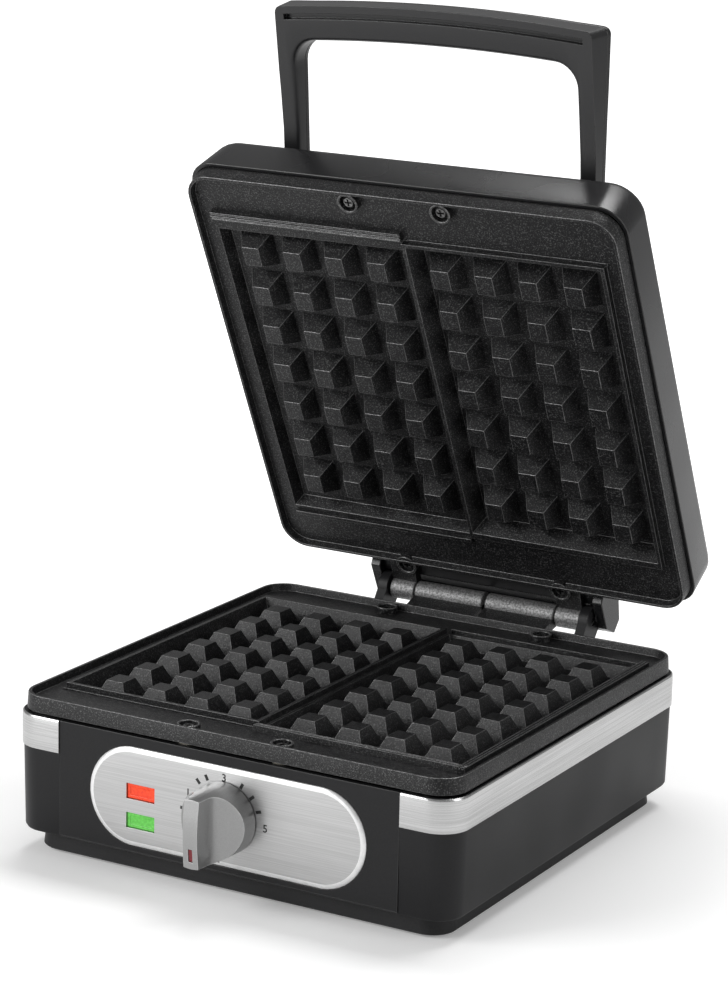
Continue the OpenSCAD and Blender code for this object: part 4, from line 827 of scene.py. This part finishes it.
def makeCasting(name, kind, node, place):
    bm = bmesh.new()
    drawDeck(bm)
    sweepWall(bm, casting["wide"], casting["deep"], casting["corner"], casting["rim"])
    for side in (1, -1):
        for i in range(casting["studs"][0]):
            for j in range(casting["studs"][1]):
                addStud(bm, side * (casting["first"][0] + i * casting["pitch"][0]),
                        casting["first"][1] + j * casting["pitch"][1])
    prism(bm, [(ledges["frontY"] + v, z) for v, z in ledges["front"]], *ledges["frontX"][kind])
    prism(bm, ledges["back"], *ledges["backX"])
    if kind == "lower":
        prism(bm, [(ledges["sideX"] + u, z) for u, z in ledges["side"]], *ledges["sideY"], "Y")
    box(bm, *ledges["lip"])
    for centres, outlines in (("wells", ("well",)), ("lugs", ("lug", "seat"))):
        for x, y in collars[centres][kind]:
            for side in (1, -1):
                for outline in outlines:
                    turned(bm, collars[outline], (side * x, y, 0))
    for side in (1, -1):
        addKnuckle(bm, side, kind)
    finishPiece(bm, name, "base" if kind == "lower" else "lid", "cast_plate", [node], 0.45, place,
                second="knuckle_metal", edge="cast_painted_highlight")


makeCasting("lowerPlate", "lower", "lower_plate", Matrix.Translation((0, 0, 79.5)))
makeCasting("upperPlate", "upper", "upper_plate",
            swingOpen @ Matrix.Translation((0, 0, 88.5)) @ Matrix.Rotation(math.pi, 4, "Y"))

# lid shell, drawn shut: rounded plans drawn together, with a cover over the hinge

# plans as width, depth, corner radius, height and shift; hump and roof are from the pin
shell = {"wall": 2.6,
         "plans": [(254, 256.6, 15.6, 93.6, 0), (250.64, 256.6, 16.6, 115.3, 2.08),
                   (250.0, 256.2, 16.6, 117.0, 2.3), (248.6, 255.2, 16.6, 118.6, 2.5),
                   (246.0, 253.0, 16.4, 119.9, 2.6), (242.8, 250.1, 15.6, 120.6, 2.5),
                   (232.0, 239.0, 17.6, 123.4, 2.2), (216, 218.6, 19.6, 127.6, 1.4),
                   (198, 200.6, 20.6, 129.8, 1.4), (180, 182.6, 21.6, 130.8, 1.4)],
         "outerOnly": (2, 3, 4), "ears": (66, 72), "roofHalf": 66.1,
         "root": {"half": 5.35, "deep": 26, "span": (0.4, 11)},
         "hump": [(-24, 6), (-24, 26.5), (-15, 24.3), (10.4, 16.1), (13.4, 8), (5, 0.9), (-13.3, 0.9),
                  (-17.4, 6)],
         "roof": [(-24, 6), (-24, 26.5), (-15, 24.3), (10.4, 16.1), (13.4, 8), (10, 5), (8.1, 5), (5, 8.1),
                  (0, 9.5), (-5, 8.1), (-8.1, 5), (-16.6, 5), (-17.4, 6)]}


def makeLidShell():
    bm = bmesh.new()
    wall = shell["wall"]
    outer = [planLoop(bm, w, d, r, z, y) for w, d, r, z, y in shell["plans"]]
    inner = [planLoop(bm, w - 2 * wall, d - 2 * wall, r - wall, z - (wall if k else 0), y)
             for k, (w, d, r, z, y) in enumerate(shell["plans"]) if k not in shell["outerOnly"]]
    joinLoops(bm, *outer)
    joinLoops(bm, *inner)
    joinLoops(bm, outer[0], inner[0])
    fillLoop(bm, outer[-1])
    fillLoop(bm, inner[-1])
    y, z = lid["pinY"], lid["pinZ"]
    prism(bm, [(y + u, z + v) for u, v in shell["roof"]], -shell["roofHalf"], shell["roofHalf"])
    for start, end in (shell["ears"], [-x for x in shell["ears"][::-1]]):
        prism(bm, [(y + u, z + v) for u, v in shell["hump"]], start, end)
    root = shell["root"]
    for side in (1, -1):  # the roots that the handle's legs stand on
        middle = side * handle["legX"]
        verts = box(bm, middle - root["half"], middle + root["half"],
                    handle["foot"] - root["deep"], handle["foot"], *root["span"])
        bmesh.ops.transform(bm, matrix=handleDrawn, verts=verts)
    finishPiece(bm, "lidShell", "lid", "lid_plastic", ["lid_shell"], 0.6, swingOpen, smooth=28)


# lift handle: a crowned bar on two legs, its front leaning forward towards the top;
# a rounding is its radius and its steps

handle = {"hand": 164, "leg": 9.5, "legX": 86.75, "reach": 69.8, "thick": 11.4, "bar": 19, "foot": -16,
          "crown": 1000, "swell": 6, "seam": 7.8, "seamGap": 0.12, "hollow": (2.4, 4), "corner": (12, 8),
          "shoulder": (3.6, 5), "groove": (62.5, 65.5, 86.2, 2.2), "slices": 11, "slice": 7.6,
          "levels": (0, 20, 35), "legFrom": 1, "barFrom": 20, "barEnd": 12, "spread": (0.3, 2.9),
          "place": (0, -124.6, 136.8), "pitch": 158}
handleDrawn = (Matrix.Translation(handle["place"]) @ Matrix.Rotation(math.radians(handle["pitch"]), 4, "X")
               @ Matrix.Diagonal((1, 1, -1, 1)))


def drawHandle():
    bm = bmesh.new()
    near, beside = 0.01, 0.05  # how close counts as on a face, and as on the opening's edge
    hand, out = handle["hand"] / 2, handle["hand"] / 2 + handle["leg"]
    foot, top, under = handle["foot"], handle["reach"], handle["reach"] - handle["bar"]
    spots = [(-out, foot), (-hand, foot), (-hand, under), (hand, under), (hand, foot), (out, foot),
             (out, top), (-out, top)]
    verts = [bm.verts.new((x, y, 0)) for x, y in spots]
    bm.faces.new(verts)
    roundOff(bm, verts[2:4], *handle["corner"])
    roundOff(bm, [vert for vert in bm.verts if abs(vert.co.y - top) < near], *handle["shoulder"])
    pushFaces(bm, bm.faces[:], (0, 0, handle["thick"]))
    soft = []  # the front edge round the opening is well rounded
    for edge in bm.edges:
        if all(abs(vert.co.z) < near and abs(vert.co.x) < hand + beside and vert.co.y < under + beside
               for vert in edge.verts):
            soft.append(edge)
    roundOff(bm, soft, *handle["hollow"], "EDGES")
    for k in range(-handle["slices"], handle["slices"] + 1):
        cutLine(bm, (k * handle["slice"], 0, 0), (1, 0, 0))
    low, high, half, depth = handle["groove"]
    for y in handle["levels"] + (low, high):
        cutLine(bm, (0, y, 0), (0, 1, 0))
    for x in (-half, half):
        cutLine(bm, (x, 0, 0), (1, 0, 0))
    bed = []
    for face in bm.faces:
        spot = face.calc_center_median()
        if abs(spot.z) < near and abs(spot.x) < half and low < spot.y < high:
            bed.append(face)
    pushFaces(bm, bed, (0, 0, depth), sunk=True)
    # crown the bar, lean its front forward and spread the sides towards the back
    start, end = handle["barFrom"], under - handle["barEnd"]
    spreadFront, spreadMore = handle["spread"]
    for vert in bm.verts:
        x, y, z = vert.co
        bar = max(0.0, min(1.0, (y - start) / (end - start)))
        lean = handle["swell"] / handle["reach"] * max(0.0, y) * (1 - min(z, handle["seam"]) / handle["seam"])
        if abs(x) > hand + handle["legFrom"]:
            rise = (y - foot) / (top - foot)
            vert.co.x += math.copysign(rise * (spreadFront + spreadMore * z / handle["thick"]), x)
        vert.co.y -= x * x / (2 * handle["crown"]) * bar
        vert.co.z -= lean
    return bm


def makeHandle():
    for name, node, normal in (("handleFront", "handle", 1), ("handleBack", "handle_back", -1)):
        bm = drawHandle()
        gap = 0 if normal > 0 else handle["seamGap"]
        cutAway(bm, (0, 0, handle["seam"] + gap), (0, 0, normal))
        finishPiece(bm, name, "lid", "handle_plastic", [node], 0.7, swingOpen @ handleDrawn,
                    smooth=30)


makeLidShell()
makeHandle()
